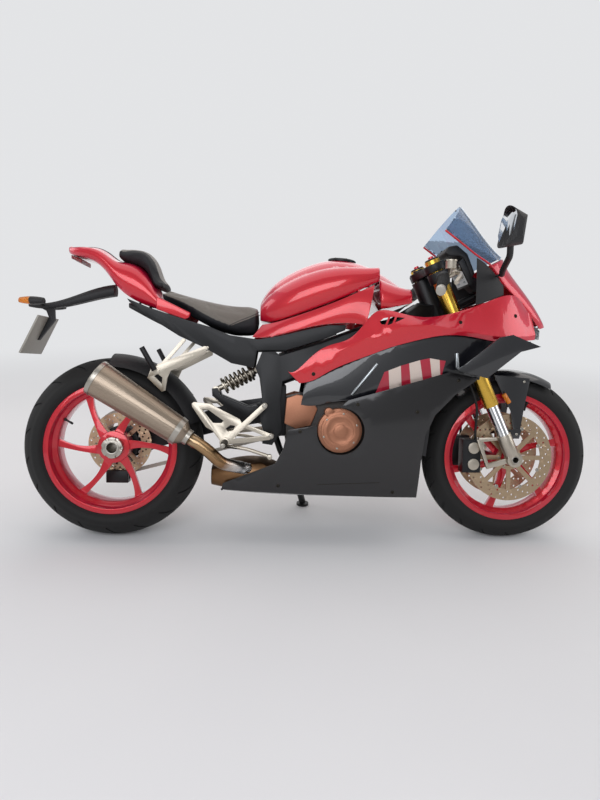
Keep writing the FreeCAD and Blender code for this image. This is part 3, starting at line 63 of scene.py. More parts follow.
bl_info = {
    "name": "Sport Bike Looks",
    "version": (1, 0, 0),
    "blender": (4, 5, 0),
    "location": "View3D > Sidebar > Bike",
    "description": "Finishes, seats, tyres and small parts of the sport bike",
    "category": "Object",
}

JOINTS = {joint["name"]: joint for joint in frame["joints"]}
REAR_AXLE = Vector(JOINTS["rear_wheel_spin"]["pos_m"])
FRONT_AXLE = Vector(JOINTS["front_wheel_spin"]["pos_m"])
LEFT = Vector(JOINTS["rear_wheel_spin"]["axis"]).normalized()
FORWARD = Vector((1, 0, 0))
UP = FORWARD.cross(LEFT)
MM = 0.001
# Height of the rear axle over the ground on the upright bike, in metres
AXLE_HEIGHT = 0.31669
# Directions and points of the upright bike, in metres, on the bike parked on its stand, and back
TO_PARKED = Matrix((FORWARD, LEFT, UP)).transposed()
PARKED = Matrix.Translation(REAR_AXLE - UP * AXLE_HEIGHT) @ TO_PARKED.to_4x4()
UPRIGHT_FROM_PARKED = PARKED.inverted()
TO_UPRIGHT = UPRIGHT_FROM_PARKED.to_3x3()
# Directions along the fork's legs and ahead of them
RAKE = math.radians(24.5)
LEG_UP = Vector((-math.sin(RAKE), 0, math.cos(RAKE)))
LEG_AHEAD = Vector((math.cos(RAKE), 0, math.sin(RAKE)))
# Distance of each leg from the bike's middle, and height of the handlebars' clamps along it, in mm
LEG_SIDE, CLAMP = 105, 690
# Right and left side of the bike
HANDS = (-1, 1)
SLOTS = {part["node"]: part["material_slot"] for part in frame["record"]["subparts"]}
# Materials by short name, filled by make_finishes
FINISH = {}


def spot(x, y, z):
    """A point of the parked bike, from millimetres on the upright one."""
    return PARKED @ Vector((x * MM, y * MM, z * MM))


def upright(point):
    """Where a point of the parked bike is on the upright one, in millimetres."""
    return (UPRIGHT_FROM_PARKED @ point) / MM


def settings():
    """The colours and sizes in the panel."""
    return bpy.context.scene.bike_looks


def hue(code):
    """A linear colour from its sRGB hex value."""
    def channel(text):
        value = int(text, 16) / 255
        return value / 12.92 if value <= 0.04045 else ((value + 0.055) / 1.055) ** 2.4
    return [channel(code[i:i + 2]) for i in (1, 3, 5)] + [1.0]


def node(tree, kind, settings=(), links=()):
    """Add a node with its settings and the outputs that feed it."""
    made = tree.nodes.new(kind)
    for key, value in dict(settings).items():
        if isinstance(key, str) and key in made.bl_rna.properties:
            setattr(made, key, value)
        else:
            made.inputs[key].default_value = value
    for key, output in dict(links).items():
        tree.links.new(output, made.inputs[key])
    return made


def blank(name, values):
    """A material with plain numbers on its shader's sockets, its tree and its shader."""
    made = bpy.data.materials.new(name)
    made.use_nodes = True
    shader = made.node_tree.nodes["Principled BSDF"]
    for key, value in values.items():
        shader.inputs[key].default_value = value
    return made, made.node_tree, shader


def coloured(tree, shader, level, colours, bump, depth):
    """Let a pattern's level set a shader's colour, and its relief to a depth in millimetres."""
    tint = node(tree, "ShaderNodeMix", {"data_type": "RGBA", 6: hue(colours[0]), 7: hue(colours[1])},
                {0: level})
    tree.links.new(tint.outputs[2], shader.inputs["Base Color"])
    relief = node(tree, "ShaderNodeBump", {"Strength": bump, "Distance": depth * MM}, {"Height": level})
    tree.links.new(relief.outputs["Normal"], shader.inputs["Normal"])


def grained(name, values, colours, cell, bump, stretch=(1, 1, 1), rough=None, kind="noise"):
    """A material whose colour, roughness and surface vary over cells of a size in millimetres."""
    made, tree, shader = blank(name, values)
    where = node(tree, "ShaderNodeTexCoord")
    spread = node(tree, "ShaderNodeMapping", {"Scale": stretch}, {"Vector": where.outputs["Object"]})
    if kind == "cells":
        grain = node(tree, "ShaderNodeTexVoronoi", {"Scale": 1 / (cell * MM)},
                     {"Vector": spread.outputs["Vector"]})
        level = grain.outputs["Distance"]
    else:
        grain = node(tree, "ShaderNodeTexNoise", {"Scale": 1 / (cell * MM), "Detail": 3},
                     {"Vector": spread.outputs["Vector"]})
        level = grain.outputs["Fac"]
    coloured(tree, shader, level, colours, bump, cell)
    if rough:
        dullness = node(tree, "ShaderNodeMapRange", {"To Min": rough[0], "To Max": rough[1]},
                        {"Value": level})
        tree.links.new(dullness.outputs["Result"], shader.inputs["Roughness"])
    return made


def candy_lacquer(name, deep, bright, metallic):
    """Candy lacquer: clear coat over tinted coat over fine flake, with a painted pink sheen where the
    surface turns away from the view.
    """
    made, tree, shader = blank(name, {"Metallic": metallic, "Roughness": 0.34, "Coat Weight": 1.0,
                                      "Coat Roughness": 0.04, "Coat IOR": 1.5})
    where = node(tree, "ShaderNodeTexCoord")
    # Flakes are 0.1 mm; drawn at 0.9 mm so that they show
    flakes = node(tree, "ShaderNodeTexVoronoi", {"Scale": 1 / (0.9 * MM)},
                  {"Vector": where.outputs["Object"]})
    # Painted sheen: the colour turns from the deep red to the pink as the surface turns away from the view
    edge = node(tree, "ShaderNodeLayerWeight", {"Blend": 0.28})
    tint = node(tree, "ShaderNodeMix", {"data_type": "RGBA", 6: hue(deep), 7: hue(bright)},
                {0: edge.outputs["Facing"]})
    sparkle = node(tree, "ShaderNodeMix", {"data_type": "RGBA", "blend_type": "MULTIPLY", 0: 0.16},
                   {6: tint.outputs[2], 7: flakes.outputs["Color"]})
    tree.links.new(sparkle.outputs[2], shader.inputs["Base Color"])
    ripple = node(tree, "ShaderNodeTexNoise", {"Scale": 1 / (14 * MM), "Detail": 1},
                  {"Vector": where.outputs["Object"]})
    relief = node(tree, "ShaderNodeBump", {"Strength": 0.03, "Distance": 0.4 * MM},
                  {"Height": ripple.outputs["Fac"]})
    tree.links.new(relief.outputs["Normal"], shader.inputs["Coat Normal"])
    return made


def turned(name, values, colours, centre, pitch, bump):
    """A surface with fine rings round a wheel's axis, from a lathe or a mould."""
    made, tree, shader = blank(name, values)
    where = node(tree, "ShaderNodeTexCoord")
    from_axle = node(tree, "ShaderNodeVectorMath", {"operation": "SUBTRACT", 1: centre},
                     {0: where.outputs["Object"]})
    across = node(tree, "ShaderNodeVectorMath", {"operation": "CROSS_PRODUCT", 1: LEFT},
                  {0: from_axle.outputs["Vector"]})
    radius = node(tree, "ShaderNodeVectorMath", {"operation": "LENGTH"}, {0: across.outputs["Vector"]})
    rings = node(tree, "ShaderNodeTexNoise",
                 {"noise_dimensions": "1D", "Scale": 1 / (pitch * MM), "Detail": 2},
                 {"W": radius.outputs["Value"]})
    coloured(tree, shader, rings.outputs["Fac"], colours, bump, 0.4)
    return made


def heat_tinted(name, values, start, end, colours):
    """Steel pipe that heat has coloured in bands from one end to the other."""
    made, tree, shader = blank(name, values)
    where = node(tree, "ShaderNodeTexCoord")
    run = end - start
    offset = node(tree, "ShaderNodeVectorMath", {"operation": "SUBTRACT", 1: start},
                  {0: where.outputs["Object"]})
    share = node(tree, "ShaderNodeVectorMath", {"operation": "DOT_PRODUCT", 1: run / run.length_squared},
                 {0: offset.outputs["Vector"]})
    cloud = node(tree, "ShaderNodeTexNoise", {"Scale": 1 / (30 * MM), "Detail": 3},
                 {"Vector": where.outputs["Object"]})
    drift = node(tree, "ShaderNodeMath", {"operation": "MULTIPLY_ADD", 1: 0.25},
                 {0: cloud.outputs["Fac"], 2: share.outputs["Value"]})
    bands = node(tree, "ShaderNodeValToRGB", {}, {"Fac": drift.outputs["Value"]})
    ramp = bands.color_ramp
    for index, colour in enumerate(colours):
        place = index / (len(colours) - 1)
        stop = ramp.elements[0] if index == 0 else ramp.elements.new(place)
        stop.position = place
        stop.color = hue(colour)
    ramp.elements.remove(ramp.elements[-1])
    tree.links.new(bands.outputs["Color"], shader.inputs["Base Color"])
    fine = node(tree, "ShaderNodeTexNoise", {"Scale": 1 / (1.5 * MM), "Detail": 2},
                {"Vector": where.outputs["Object"]})
    relief = node(tree, "ShaderNodeBump", {"Strength": 0.12, "Distance": 0.5 * MM},
                  {"Height": fine.outputs["Fac"]})
    tree.links.new(relief.outputs["Normal"], shader.inputs["Normal"])
    return made


def make_finishes():
    """Fill FINISH with all the bike's materials."""
    look = settings()
    clear_coat = {"Coat Weight": 1.0, "Coat Roughness": 0.04}
    film = {"Roughness": 0.3, "Coat Weight": 0.6, "Coat Roughness": 0.08}
    disc = {"Metallic": 1.0, "Roughness": 0.34}
    tyre = {"Roughness": 0.74, "Specular IOR Level": 0.4}
    disc_colours, tyre_colours = ("#A48A6C", "#CDB79C"), ("#131313", "#1D1C1C")

    def metal(roughness, metallic=1.0):
        return {"Metallic": metallic, "Roughness": roughness}

    def clear(colour, roughness, ior):
        return {"Base Color": hue(colour), "Transmission Weight": 1.0, "Roughness": roughness, "IOR": ior}

    FINISH.update({
        # Candy red lacquer: deep red face on, with a painted pink sheen where it turns away from the view
        "red": candy_lacquer("candy_red_lacquer", look.body_red, look.body_sheen_painted, 0.3),
        # The rims' red is brighter, over coarser flake, with a pinker painted sheen at a slant
        "wheel_red": candy_lacquer("red_lacquered_rim", look.wheel_red, look.wheel_sheen_painted, 0.45),
        # Black lacquer with a trace of blue, which is a painted reflection of the sky
        "black": grained("black_lacquer_painted_sky_blue", dict(clear_coat, Roughness=0.3), ("#04050A", "#080A14"), 1.0,
                         0.02),
        # Charcoal lacquer: soft grey sheen from metal flake under a satin clear coat
        "charcoal": grained("charcoal_flake_lacquer",
                            {**metal(0.38, 0.45), "Coat Weight": 0.8, "Coat Roughness": 0.14},
                            ("#0C0B0D", "#171518"), 0.9, 0.05),
        # Unpainted moulded ABS: dull, with a fine sparked grain
        "plastic": grained("grained_black_abs", {"Roughness": 0.55}, ("#121214", "#1D1D20"), 0.9, 0.22,
                           rough=(0.48, 0.66)),
        # Powder-coated cast aluminium: satin, slightly pebbled
        "frame": grained("black_powder_coat", metal(0.42, 0.3), ("#0C0D0F", "#18191C"), 1.6, 0.14,
                         rough=(0.36, 0.5)),
        # Sand-cast and painted crankcases: dull grey, rough skin
        "casting": grained("grey_cast_alloy", metal(0.5, 0.75), ("#2C2A2A", "#4B4744"), 2.2, 0.4,
                           rough=(0.42, 0.62)),
        # Bronze paint on die-cast covers: warm satin with metal flake
        "bronze": grained("bronze_cover_paint", metal(0.4, 0.7), ("#8A5A44", "#B98266"), 1.4, 0.1,
                          rough=(0.34, 0.48)),
        # Blasted and clear-anodised forgings: pale champagne silver
        "silver": grained("champagne_anodised_alloy", metal(0.34), ("#A8A093", "#C9C1B3"), 1.1, 0.1,
                          rough=(0.3, 0.42)),
        # Gold-anodised drawn tube: clear yellow gold with fine lines along the tube
        "gold": grained("gold_anodised_tube", metal(0.24), ("#C79A35", "#E3BE5C"), 1.2, 0.05,
                        stretch=(1, 1, 0.15), rough=(0.2, 0.3)),
        # Hard chrome on ground steel: nearly a mirror
        "chrome": grained("hard_chromed_steel", metal(0.12), ("#C9CACC", "#E4E5E6"), 3.0, 0.02),
        # Brushed stainless that exhaust heat has warmed to bronze grey
        "brushed": grained("brushed_stainless", metal(0.36), ("#8E7F70", "#B3A493"), 1.2, 0.16,
                           stretch=(0.08, 1, 1), rough=(0.3, 0.46)),
        # Zinc-plated steel: soft warm grey, a little blotched
        "zinc": grained("zinc_plated_steel", metal(0.32), ("#9A958C", "#C2BDB4"), 1.0, 0.08,
                        rough=(0.26, 0.42)),
        # Blackened steel: dark brown grey with a dull shine
        "dark_steel": grained("blackened_steel", metal(0.4, 0.9), ("#26241F", "#3C3832"), 1.2, 0.12,
                              rough=(0.32, 0.5)),
        # Ground disc steel, browned by heat. The rings are coarser than real grinding, to show
        "front_disc": turned("ground_disc_steel_front", disc, disc_colours, FRONT_AXLE, 1.4, 0.25),
        "rear_disc": turned("ground_disc_steel_rear", disc, disc_colours, REAR_AXLE, 1.4, 0.25),
        # Moulded tyre rubber: nearly black and dull, with the mould's faint rings
        "front_tyre": turned("moulded_tyre_rubber_front", tyre, tyre_colours, FRONT_AXLE, 3.0, 0.35),
        "rear_tyre": turned("moulded_tyre_rubber_rear", tyre, tyre_colours, REAR_AXLE, 3.0, 0.35),
        # Moulded rubber of grips and stems: black, with no shine
        "rubber": grained("black_rubber", {"Roughness": 0.7}, ("#0E0E0F", "#191919"), 1.3, 0.25),
        # Seat vinyl: leather-like grain; the top's grey is partly the cover's own grey and partly painted
        # light on top
        "vinyl": grained("seat_vinyl_grey_top_painted_light",
                         {"Roughness": 0.56, "Sheen Weight": 0.25, "Sheen Roughness": 0.5},
                         ("#5C5750", "#787169"), 1.6, 0.5, rough=(0.48, 0.66), kind="cells"),
        # The seats' sides keep the vinyl's blue black
        "vinyl_side": grained("dark_seat_vinyl", {"Roughness": 0.62}, ("#0D0E13", "#17181D"), 1.2, 0.4,
                              kind="cells"),
        # Sewing thread: dark grey and matt
        "thread": grained("seat_thread", {"Roughness": 0.7}, ("#2A2A2C", "#39383A"), 0.6, 0.3),
        # Smoked acrylic: blue grey, see-through face on
        "screen": blank("smoked_acrylic", clear("#8798AC", 0.02, 1.49))[0],
        # Clear polycarbonate of the headlights
        "lens": blank("clear_polycarbonate", clear("#EEF2F4", 0.03, 1.58))[0],
        # Red lens with moulded facets, deep red when unlit
        "red_lens": grained("red_tail_lens", {"Roughness": 0.12, "Transmission Weight": 0.55, "IOR": 1.49},
                            ("#7A0610", "#A80A18"), 4.0, 0.3, kind="cells"),
        # Amber lens with small prisms
        "amber": grained("amber_reflector", {"Roughness": 0.14, "Transmission Weight": 0.25, "IOR": 1.49},
                         ("#D9660A", "#F09A22"), 2.5, 0.4, kind="cells"),
        # Silvered mirror glass, toned down
        "mirror": blank("silvered_glass", {**metal(0.05), "Base Color": hue("#A9ADB2")})[0],
        # Printed film of the stripes: smooth under its own clear layer
        "stripe_red": grained("red_stripe_film", film, ("#A31A31", "#B5243C"), 2.0, 0.02),
        "stripe_pale": grained("beige_stripe_film", film, ("#CDBBB0", "#DDCDC3"), 2.0, 0.02),
        # Pale brushed-metal struts: their bright grey is a painted sheen on dark fins of the middle panels
        "strut_painted_sheen": grained("strut_pale_painted_sheen", metal(0.3), ("#A9B0B4", "#C6CBCE"), 1.0, 0.06),
        # Glass over a dark display, and the unlit grey bars on it
        "display": blank("glass_display", {"Base Color": hue("#0B0E12"), "Roughness": 0.08,
                                           "Coat Weight": 1.0})[0],
        "display_bar": blank("display_segments", {"Base Color": hue("#8E9DA6"), "Roughness": 0.3})[0],
        # Painted sheet of the blank plate: flat warm grey
        "plate": grained("blank_number_plate", {"Roughness": 0.45}, ("#8F8B83", "#A19D94"), 3.0, 0.06),
        # Stainless header pipes, baked brown by the exhaust
        "header": heat_tinted("heat_tinted_header", metal(0.4), spot(420, 0, 230), spot(1030, 0, 500),
                              ("#6E5036", "#8A6B4E", "#9A8266", "#7C6450")),
        # The link pipe runs from brown steel to straw
        "link_pipe": heat_tinted("heat_tinted_link_pipe", metal(0.26), spot(280, -200, 380),
                                 spot(470, -100, 255), ("#B39E84", "#A88A66", "#8C6B4C", "#7A5A44")),
    })


def deselect():
    """Leave edit mode and select nothing."""
    if bpy.context.object and bpy.context.object.mode != "OBJECT":
        bpy.ops.object.mode_set(mode="OBJECT")
    bpy.ops.object.select_all(action="DESELECT")


def pick(*pieces):
    """Select some pieces only, the first one as active."""
    deselect()
    for piece in pieces:
        piece.select_set(True)
    bpy.context.view_layer.objects.active = pieces[0]


def in_edit_mode(piece, *steps, whole=True):
    """Run edit-mode steps on all of a piece's mesh, or on what is selected there."""
    pick(piece)
    bpy.ops.object.mode_set(mode="EDIT")
    if whole:
        bpy.ops.mesh.select_all(action="SELECT")
    for step in steps:
        step()
    bpy.ops.object.mode_set(mode="OBJECT")


def apply_modifier(piece, kind, **values):
    """Add a modifier with its settings and apply it."""
    pick(piece)
    modifier = piece.modifiers.new(kind.title(), kind)
    for key, value in values.items():
        setattr(modifier, key, value)
    bpy.ops.object.modifier_apply(modifier=modifier.name)


def rounded(piece, width, segments=3, **limits):
    """Round a piece's sharp edges over a width in millimetres."""
    apply_modifier(piece, "BEVEL", width=width * MM, segments=segments, limit_method="ANGLE", **limits)
    return piece


def leg_spot(up, ahead, across):
    """A point of the fork on the upright bike, from millimetres along and ahead of its legs."""
    return upright(FRONT_AXLE) + LEG_UP * up + LEG_AHEAD * ahead + Vector((0, across, 0))


def bar(hand):
    """Inner and outer end of a handlebar on the upright bike, in millimetres."""
    return leg_spot(CLAMP, 12, hand * 132), leg_spot(648, -82, hand * 352)


def passing(piece, test):
    """Faces whose middle and normal on the upright bike, in millimetres, pass a test."""
    return [face for face in piece.data.polygons if test(upright(face.center), TO_UPRIGHT @ face.normal)]


def select_faces(piece, test):
    """Select the faces that pass a test, and nothing else."""
    mesh = piece.data
    for part in (*mesh.vertices, *mesh.edges, *mesh.polygons):
        part.select = False
    faces = passing(piece, test)
    if not faces:
        raise RuntimeError("no face found on " + piece.name)
    for face in faces:
        face.select = True


def keep_faces(piece, test):
    """Delete the faces that fail a test."""
    select_faces(piece, lambda place, normal: not test(place, normal))
    in_edit_mode(piece, lambda: bpy.ops.mesh.delete(type="FACE"), whole=False)
    if not piece.data.polygons:
        raise RuntimeError("nothing left of " + piece.name)


def cut(piece, place, normal, clear=True):
    """Cut a piece along a plane; clear drops what lies on the normal's side."""
    in_edit_mode(piece, lambda: bpy.ops.mesh.bisect(plane_co=place, plane_no=normal, clear_outer=clear))


def paint(piece, finish, test):
    """Give a second finish to the faces that pass a test."""
    piece.data.materials.append(FINISH[finish])
    for face in passing(piece, test):
        face.material_index = len(piece.data.materials) - 1


def finished(piece, finish, body, slot, angle=32):
    """Smooth a piece by angle, give it its finish and hand it to its body."""
    pick(piece)
    bpy.ops.object.shade_smooth_by_angle(angle=math.radians(angle))
    if not piece.data.materials:
        piece.data.materials.append(FINISH[finish])
    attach(piece, body)
    return piece


def merged(piece):
    """Merge a mesh's doubles and turn its faces outwards."""
    in_edit_mode(piece, lambda: bpy.ops.mesh.remove_doubles(threshold=0.02 * MM),
                 lambda: bpy.ops.mesh.normals_make_consistent())
    return piece


def merged_copy(node_name, name):
    """A copy of a CAD node as one closed mesh."""
    piece = bpy.data.objects.new(name, frame["nodes"][node_name].data.copy())
    bpy.context.scene.collection.objects.link(piece)
    piece.data.materials.clear()
    return merged(piece)


def dressed(name, finish, bevel):
    """A CAD node's merged copy with small rounded edges, which stands for the node."""
    piece = merged_copy(name, name + "_skin")
    if bevel:
        in_edit_mode(piece, lambda: bpy.ops.mesh.dissolve_limited(angle_limit=math.radians(0.6)))
        rounded(piece, bevel, 2, angle_limit=math.radians(38))
    finished(piece, finish, frame["nodes"][name]["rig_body"], SLOTS[name])
    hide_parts(name)
    return piece


def joined(pieces, name):
    """Several pieces as one, with their places in its mesh."""
    pick(*pieces)
    bpy.ops.object.join()
    piece = bpy.context.object
    piece.name = piece.data.name = name
    pick(piece)
    bpy.ops.object.transform_apply()
    return piece


def parked(piece):
    """Move a piece modelled on the upright bike, in metres, onto the parked one."""
    pick(piece)
    bpy.ops.object.transform_apply()
    piece.data.transform(PARKED)
    return piece


def placed(piece, *looks):
    """Park a piece modelled on the upright bike, then finish it."""
    return finished(parked(piece), *looks)


def ring_of(points, name):
    """A closed loop of edges through points, from a circle primitive."""
    deselect()
    bpy.ops.mesh.primitive_circle_add(vertices=len(points), radius=1)
    piece = bpy.context.object
    piece.name = piece.data.name = name
    for vertex, point in zip(piece.data.vertices, points):
        vertex.co = point
    return piece


def facing(direction):
    """Rotation that turns the z axis to a direction."""
    return Vector(direction).to_track_quat("Z", "Y").to_euler()


def rod(start, end, radius, sides=24, end_radius=None):
    """A round bar between two points of the upright bike, in millimetres."""
    start, end = Vector(start) * MM, Vector(end) * MM
    deselect()
    bpy.ops.mesh.primitive_cone_add(vertices=sides, radius1=radius * MM, radius2=(end_radius or radius) * MM,
                                    depth=(end - start).length, location=(start + end) / 2,
                                    rotation=facing(end - start))
    return bpy.context.object


def lathe(profile, start, direction, name, steps):
    """Turn an outline of (along, radius) points, in millimetres, round an axis of the upright bike."""
    piece = ring_of([Vector((radius * MM, 0, along * MM)) for along, radius in profile], name)
    in_edit_mode(piece, lambda: bpy.ops.mesh.spin(steps=steps, angle=math.tau, center=(0, 0, 0),
                                                  axis=(0, 0, 1)))
    merged(piece)
    piece.data.transform(Matrix.Translation(Vector(start) * MM) @ facing(direction).to_matrix().to_4x4())
    return piece


def bead(points, radius, name):
    """A round strip along a smooth line through points of the upright bike, in millimetres."""
    curve = bpy.data.curves.new(name, "CURVE")
    curve.dimensions = "3D"
    curve.bevel_depth = radius * MM
    curve.bevel_resolution = 3
    curve.use_fill_caps = True
    line = curve.splines.new("NURBS")
    line.points.add(len(points) - 1)
    for control, point in zip(line.points, points):
        control.co = (*(Vector(point) * MM), 1)
    line.order_u = 3
    line.use_endpoint_u = True
    line.resolution_u = 6
    piece = bpy.data.objects.new(name, curve)
    bpy.context.scene.collection.objects.link(piece)
    pick(piece)
    bpy.ops.object.convert(target="MESH")
    return merged(bpy.context.object)


def slab(outline, low, high, name):
    """An outline of (x, z) points pulled across the upright bike from one y to another, in millimetres."""
    piece = ring_of([Vector((x, low, z)) * MM for x, z in outline], name)
    in_edit_mode(piece, lambda: bpy.ops.mesh.edge_face_add(),
                 lambda: bpy.ops.mesh.extrude_region_move(
                     TRANSFORM_OT_translate={"value": (0, (high - low) * MM, 0)}))
    return merged(piece)


def off_axis(place, start, end):
    """How far a point is from the line through two others."""
    return (place - start).cross((end - start).normalized()).length


def stamped(master, places, name):
    """Copies of one small piece, each standing on a place along its normal, as one mesh."""
    copies = []
    for place, normal in places:
        copy = master.copy()
        copy.data = master.data.copy()
        bpy.context.scene.collection.objects.link(copy)
        copy.data.transform(Matrix.Translation(place) @ normal.to_track_quat("Z", "Y").to_matrix().to_4x4())
        copies.append(copy)
    bpy.data.objects.remove(master)
    return joined(copies, name)


def turning(profile, steps):
    """A small piece turned round the z axis, standing on the origin, to be stamped."""
    return lathe(profile, (0, 0, 0), (0, 0, 1), "master", steps)


def cap_screws(radius, places, name):
    """Domed screw heads with their sockets, in one mesh."""
    # along and radius, as shares of the head's radius, above a foot sunk by 1 mm
    dome = ((0, 1), (0.28, 0.96), (0.5, 0.68), (0.52, 0.42), (0.16, 0.38), (0.16, 0))
    profile = [(-1, 0), (-1, radius * 0.9)] + [(radius * up, radius * out) for up, out in dome]
    return stamped(turning(profile, 18), places, name)


def cast(piece, start, way):
    """Point and normal where a ray meets a piece, in parked metres."""
    hit, place, normal, _ = piece.ray_cast(start, way)
    if not hit:
        raise RuntimeError("no surface met on " + piece.name)
    return place, normal


def from_side(piece, x, z, hand):
    """Point of a piece at a place of the side view, seen from one side."""
    return cast(piece, spot(x, hand * 400, z), LEFT * -hand)[0]


def found(piece, spots):
    """Points and normals of a piece at places of the side view, from both sides where it has a surface."""
    rays = [piece.ray_cast(spot(x, hand * 400, z), LEFT * -hand) for x, z in spots for hand in HANDS]
    places = [(place, normal) for hit, place, normal, _ in rays if hit]
    if not places:
        raise RuntimeError("no surface found on " + piece.name)
    return places


class BikeLooks(bpy.types.PropertyGroup):
    """Colours and sizes that a user may change."""

    body_red: bpy.props.StringProperty(
        name="Body red", description="Candy red of the bodywork seen face on, sRGB hex", default="#D0051C")
    # Colour of the bodywork's painted pink sheen, seen at a slant
    body_sheen_painted: bpy.props.StringProperty(
        name="Body painted sheen", description="Pink of the bodywork seen at a slant, sRGB hex", default="#E3205C")
    wheel_red: bpy.props.StringProperty(
        name="Wheel red", description="Red of the rims seen face on, sRGB hex", default="#CC0A20")
    # Colour of the rims' painted pink sheen, seen at a slant
    wheel_sheen_painted: bpy.props.StringProperty(
        name="Wheel painted sheen", description="Pink of the rims seen at a slant, sRGB hex", default="#F03A6E")
    groove_depth: bpy.props.FloatProperty(
        name="Tread depth", description="Depth of the tyres' grooves", default=0.0035, unit="LENGTH")
    chain_pitch: bpy.props.FloatProperty(
        name="Chain pitch", description="Distance from one chain pin to the next", default=0.015875,
        unit="LENGTH")
    seat_swell: bpy.props.FloatProperty(
        name="Seat swell", description="Most that the seats' padding swells", default=0.010, unit="LENGTH")


class BIKE_OT_stage(bpy.types.Operator):
    """Camera, floor, lamps and world"""

    bl_idname = "bike.stage"
    bl_label = "Stage"

    # The backdrop's colour, its strength as it is seen and as it lights, and where the lamps look
    BACKDROP = "#F3F4F6"
    SEEN, SHED = 0.86, 0.42
    MIDDLE = Vector((0, 0, 0.45))

    def execute(self, context):
        self.floor(context)
        self.camera(context)
        self.lamps(context)
        self.world(context)
        context.scene.view_settings.view_transform = "Standard"
        return {"FINISHED"}

    def floor(self, context):
        """A pale floor that turns into the backdrop's colour far from the bike"""
        deselect()
        # It lies a little under the tyres, so that no face of theirs fights with it
        bpy.ops.mesh.primitive_circle_add(vertices=96, radius=14, fill_type="NGON",
                                          location=(0, 0, -0.8 * MM))
        floor = context.object
        floor.name = "studio_floor"
        material, tree, shader = blank("pale_floor", {"Roughness": 0.9, "Specular IOR Level": 0.2})
        where = node(tree, "ShaderNodeTexCoord")
        cloud = node(tree, "ShaderNodeTexNoise", {"Scale": 1.4, "Detail": 2},
                     {"Vector": where.outputs["Object"]})
        tint = node(tree, "ShaderNodeMix", {"data_type": "RGBA", 6: hue("#E0E0E2"), 7: hue("#E7E7E8")},
                    {0: cloud.outputs["Fac"]})
        tree.links.new(tint.outputs[2], shader.inputs["Base Color"])
        reach = node(tree, "ShaderNodeVectorMath", {"operation": "LENGTH"}, {0: where.outputs["Object"]})
        fade = node(tree, "ShaderNodeMapRange",
                    {"interpolation_type": "SMOOTHSTEP", "From Min": 1.8, "From Max": 4.6},
                    {"Value": reach.outputs["Value"]})
        glow = node(tree, "ShaderNodeEmission", {"Color": hue(self.BACKDROP), "Strength": self.SEEN})
        blend = node(tree, "ShaderNodeMixShader", {},
                     {0: fade.outputs["Result"], 1: shader.outputs["BSDF"], 2: glow.outputs["Emission"]})
        tree.links.new(blend.outputs["Shader"], tree.nodes["Material Output"].inputs["Surface"])
        floor.data.materials.append(material)

    def camera(self, context):
        """The camera that was fitted to the photograph's tyres and ground"""
        camera = bpy.data.objects.new("photo_camera", bpy.data.cameras.new("photo_camera"))
        context.scene.collection.objects.link(camera)
        # Turns in radians, place in metres; the focal length in pixels is for a picture 800 pixels high
        yaw, pitch, roll = 0.04702, 0.24507, 0.02742
        place, focal, height = (-0.13975, -2.24453, 1.01967), 610.22, 800
        ahead = Vector((math.sin(yaw) * math.cos(pitch), math.cos(yaw) * math.cos(pitch), -math.sin(pitch)))
        right = Vector((math.cos(yaw), -math.sin(yaw), 0))
        above = right.cross(ahead)
        turned_right = right * math.cos(roll) + above * math.sin(roll)
        turned_up = above * math.cos(roll) - right * math.sin(roll)
        camera.matrix_world = Matrix.Translation(place) @ Matrix(
            (turned_right, turned_up, -ahead)).transposed().to_4x4()
        camera.data.sensor_width = 36
        camera.data.lens = camera.data.sensor_width * focal / height
        context.scene.camera = camera

    def lamps(self, context):
        """Soft boxes round the bike, which all look at its middle"""
        # name, place, size, power in watts, colour
        lamps = (("overhead_box", (0.2, 0.7, 3.0), (5.0, 3.6), 44, "#FFF7F2"),
                 ("front_box", (-1.0, -3.6, 2.4), (3.6, 2.0), 74, "#F8FAFF"),
                 ("nose_box", (3.4, -0.8, 1.7), (1.8, 1.8), 20, "#FFFFFF"),
                 ("tail_box", (-3.4, 0.6, 2.0), (1.8, 1.8), 18, "#FFFFFF"),
                 ("far_box", (0.4, 3.6, 2.2), (5.0, 2.4), 30, "#FFFFFF"))
        for name, place, lamp_size, power, colour in lamps:
            data = bpy.data.lights.new(name, "AREA")
            data.shape = "RECTANGLE"
            data.size, data.size_y = lamp_size
            data.energy = power
            data.color = hue(colour)[:3]
            lamp = bpy.data.objects.new(name, data)
            context.scene.collection.objects.link(lamp)
            lamp.location = place
            lamp.rotation_euler = (self.MIDDLE - Vector(place)).to_track_quat("-Z", "Y").to_euler()

    def world(self, context):
        """A sky that the camera and glass see brighter than metal and floor do"""
        world = bpy.data.worlds.new("pale_studio")
        context.scene.world = world
        world.use_nodes = True
        tree = world.node_tree
        tree.nodes.clear()
        rays = node(tree, "ShaderNodeLightPath")
        shiny = node(tree, "ShaderNodeMath", {"operation": "MAXIMUM"},
                     {0: rays.outputs["Is Camera Ray"], 1: rays.outputs["Is Transmission Ray"]})
        strength = node(tree, "ShaderNodeMapRange", {"To Min": self.SHED, "To Max": self.SEEN},
                        {"Value": shiny.outputs["Value"]})
        sky = node(tree, "ShaderNodeBackground", {"Color": hue(self.BACKDROP)},
                   {"Strength": strength.outputs["Result"]})
        node(tree, "ShaderNodeOutputWorld", {}, {"Surface": sky.outputs["Background"]})


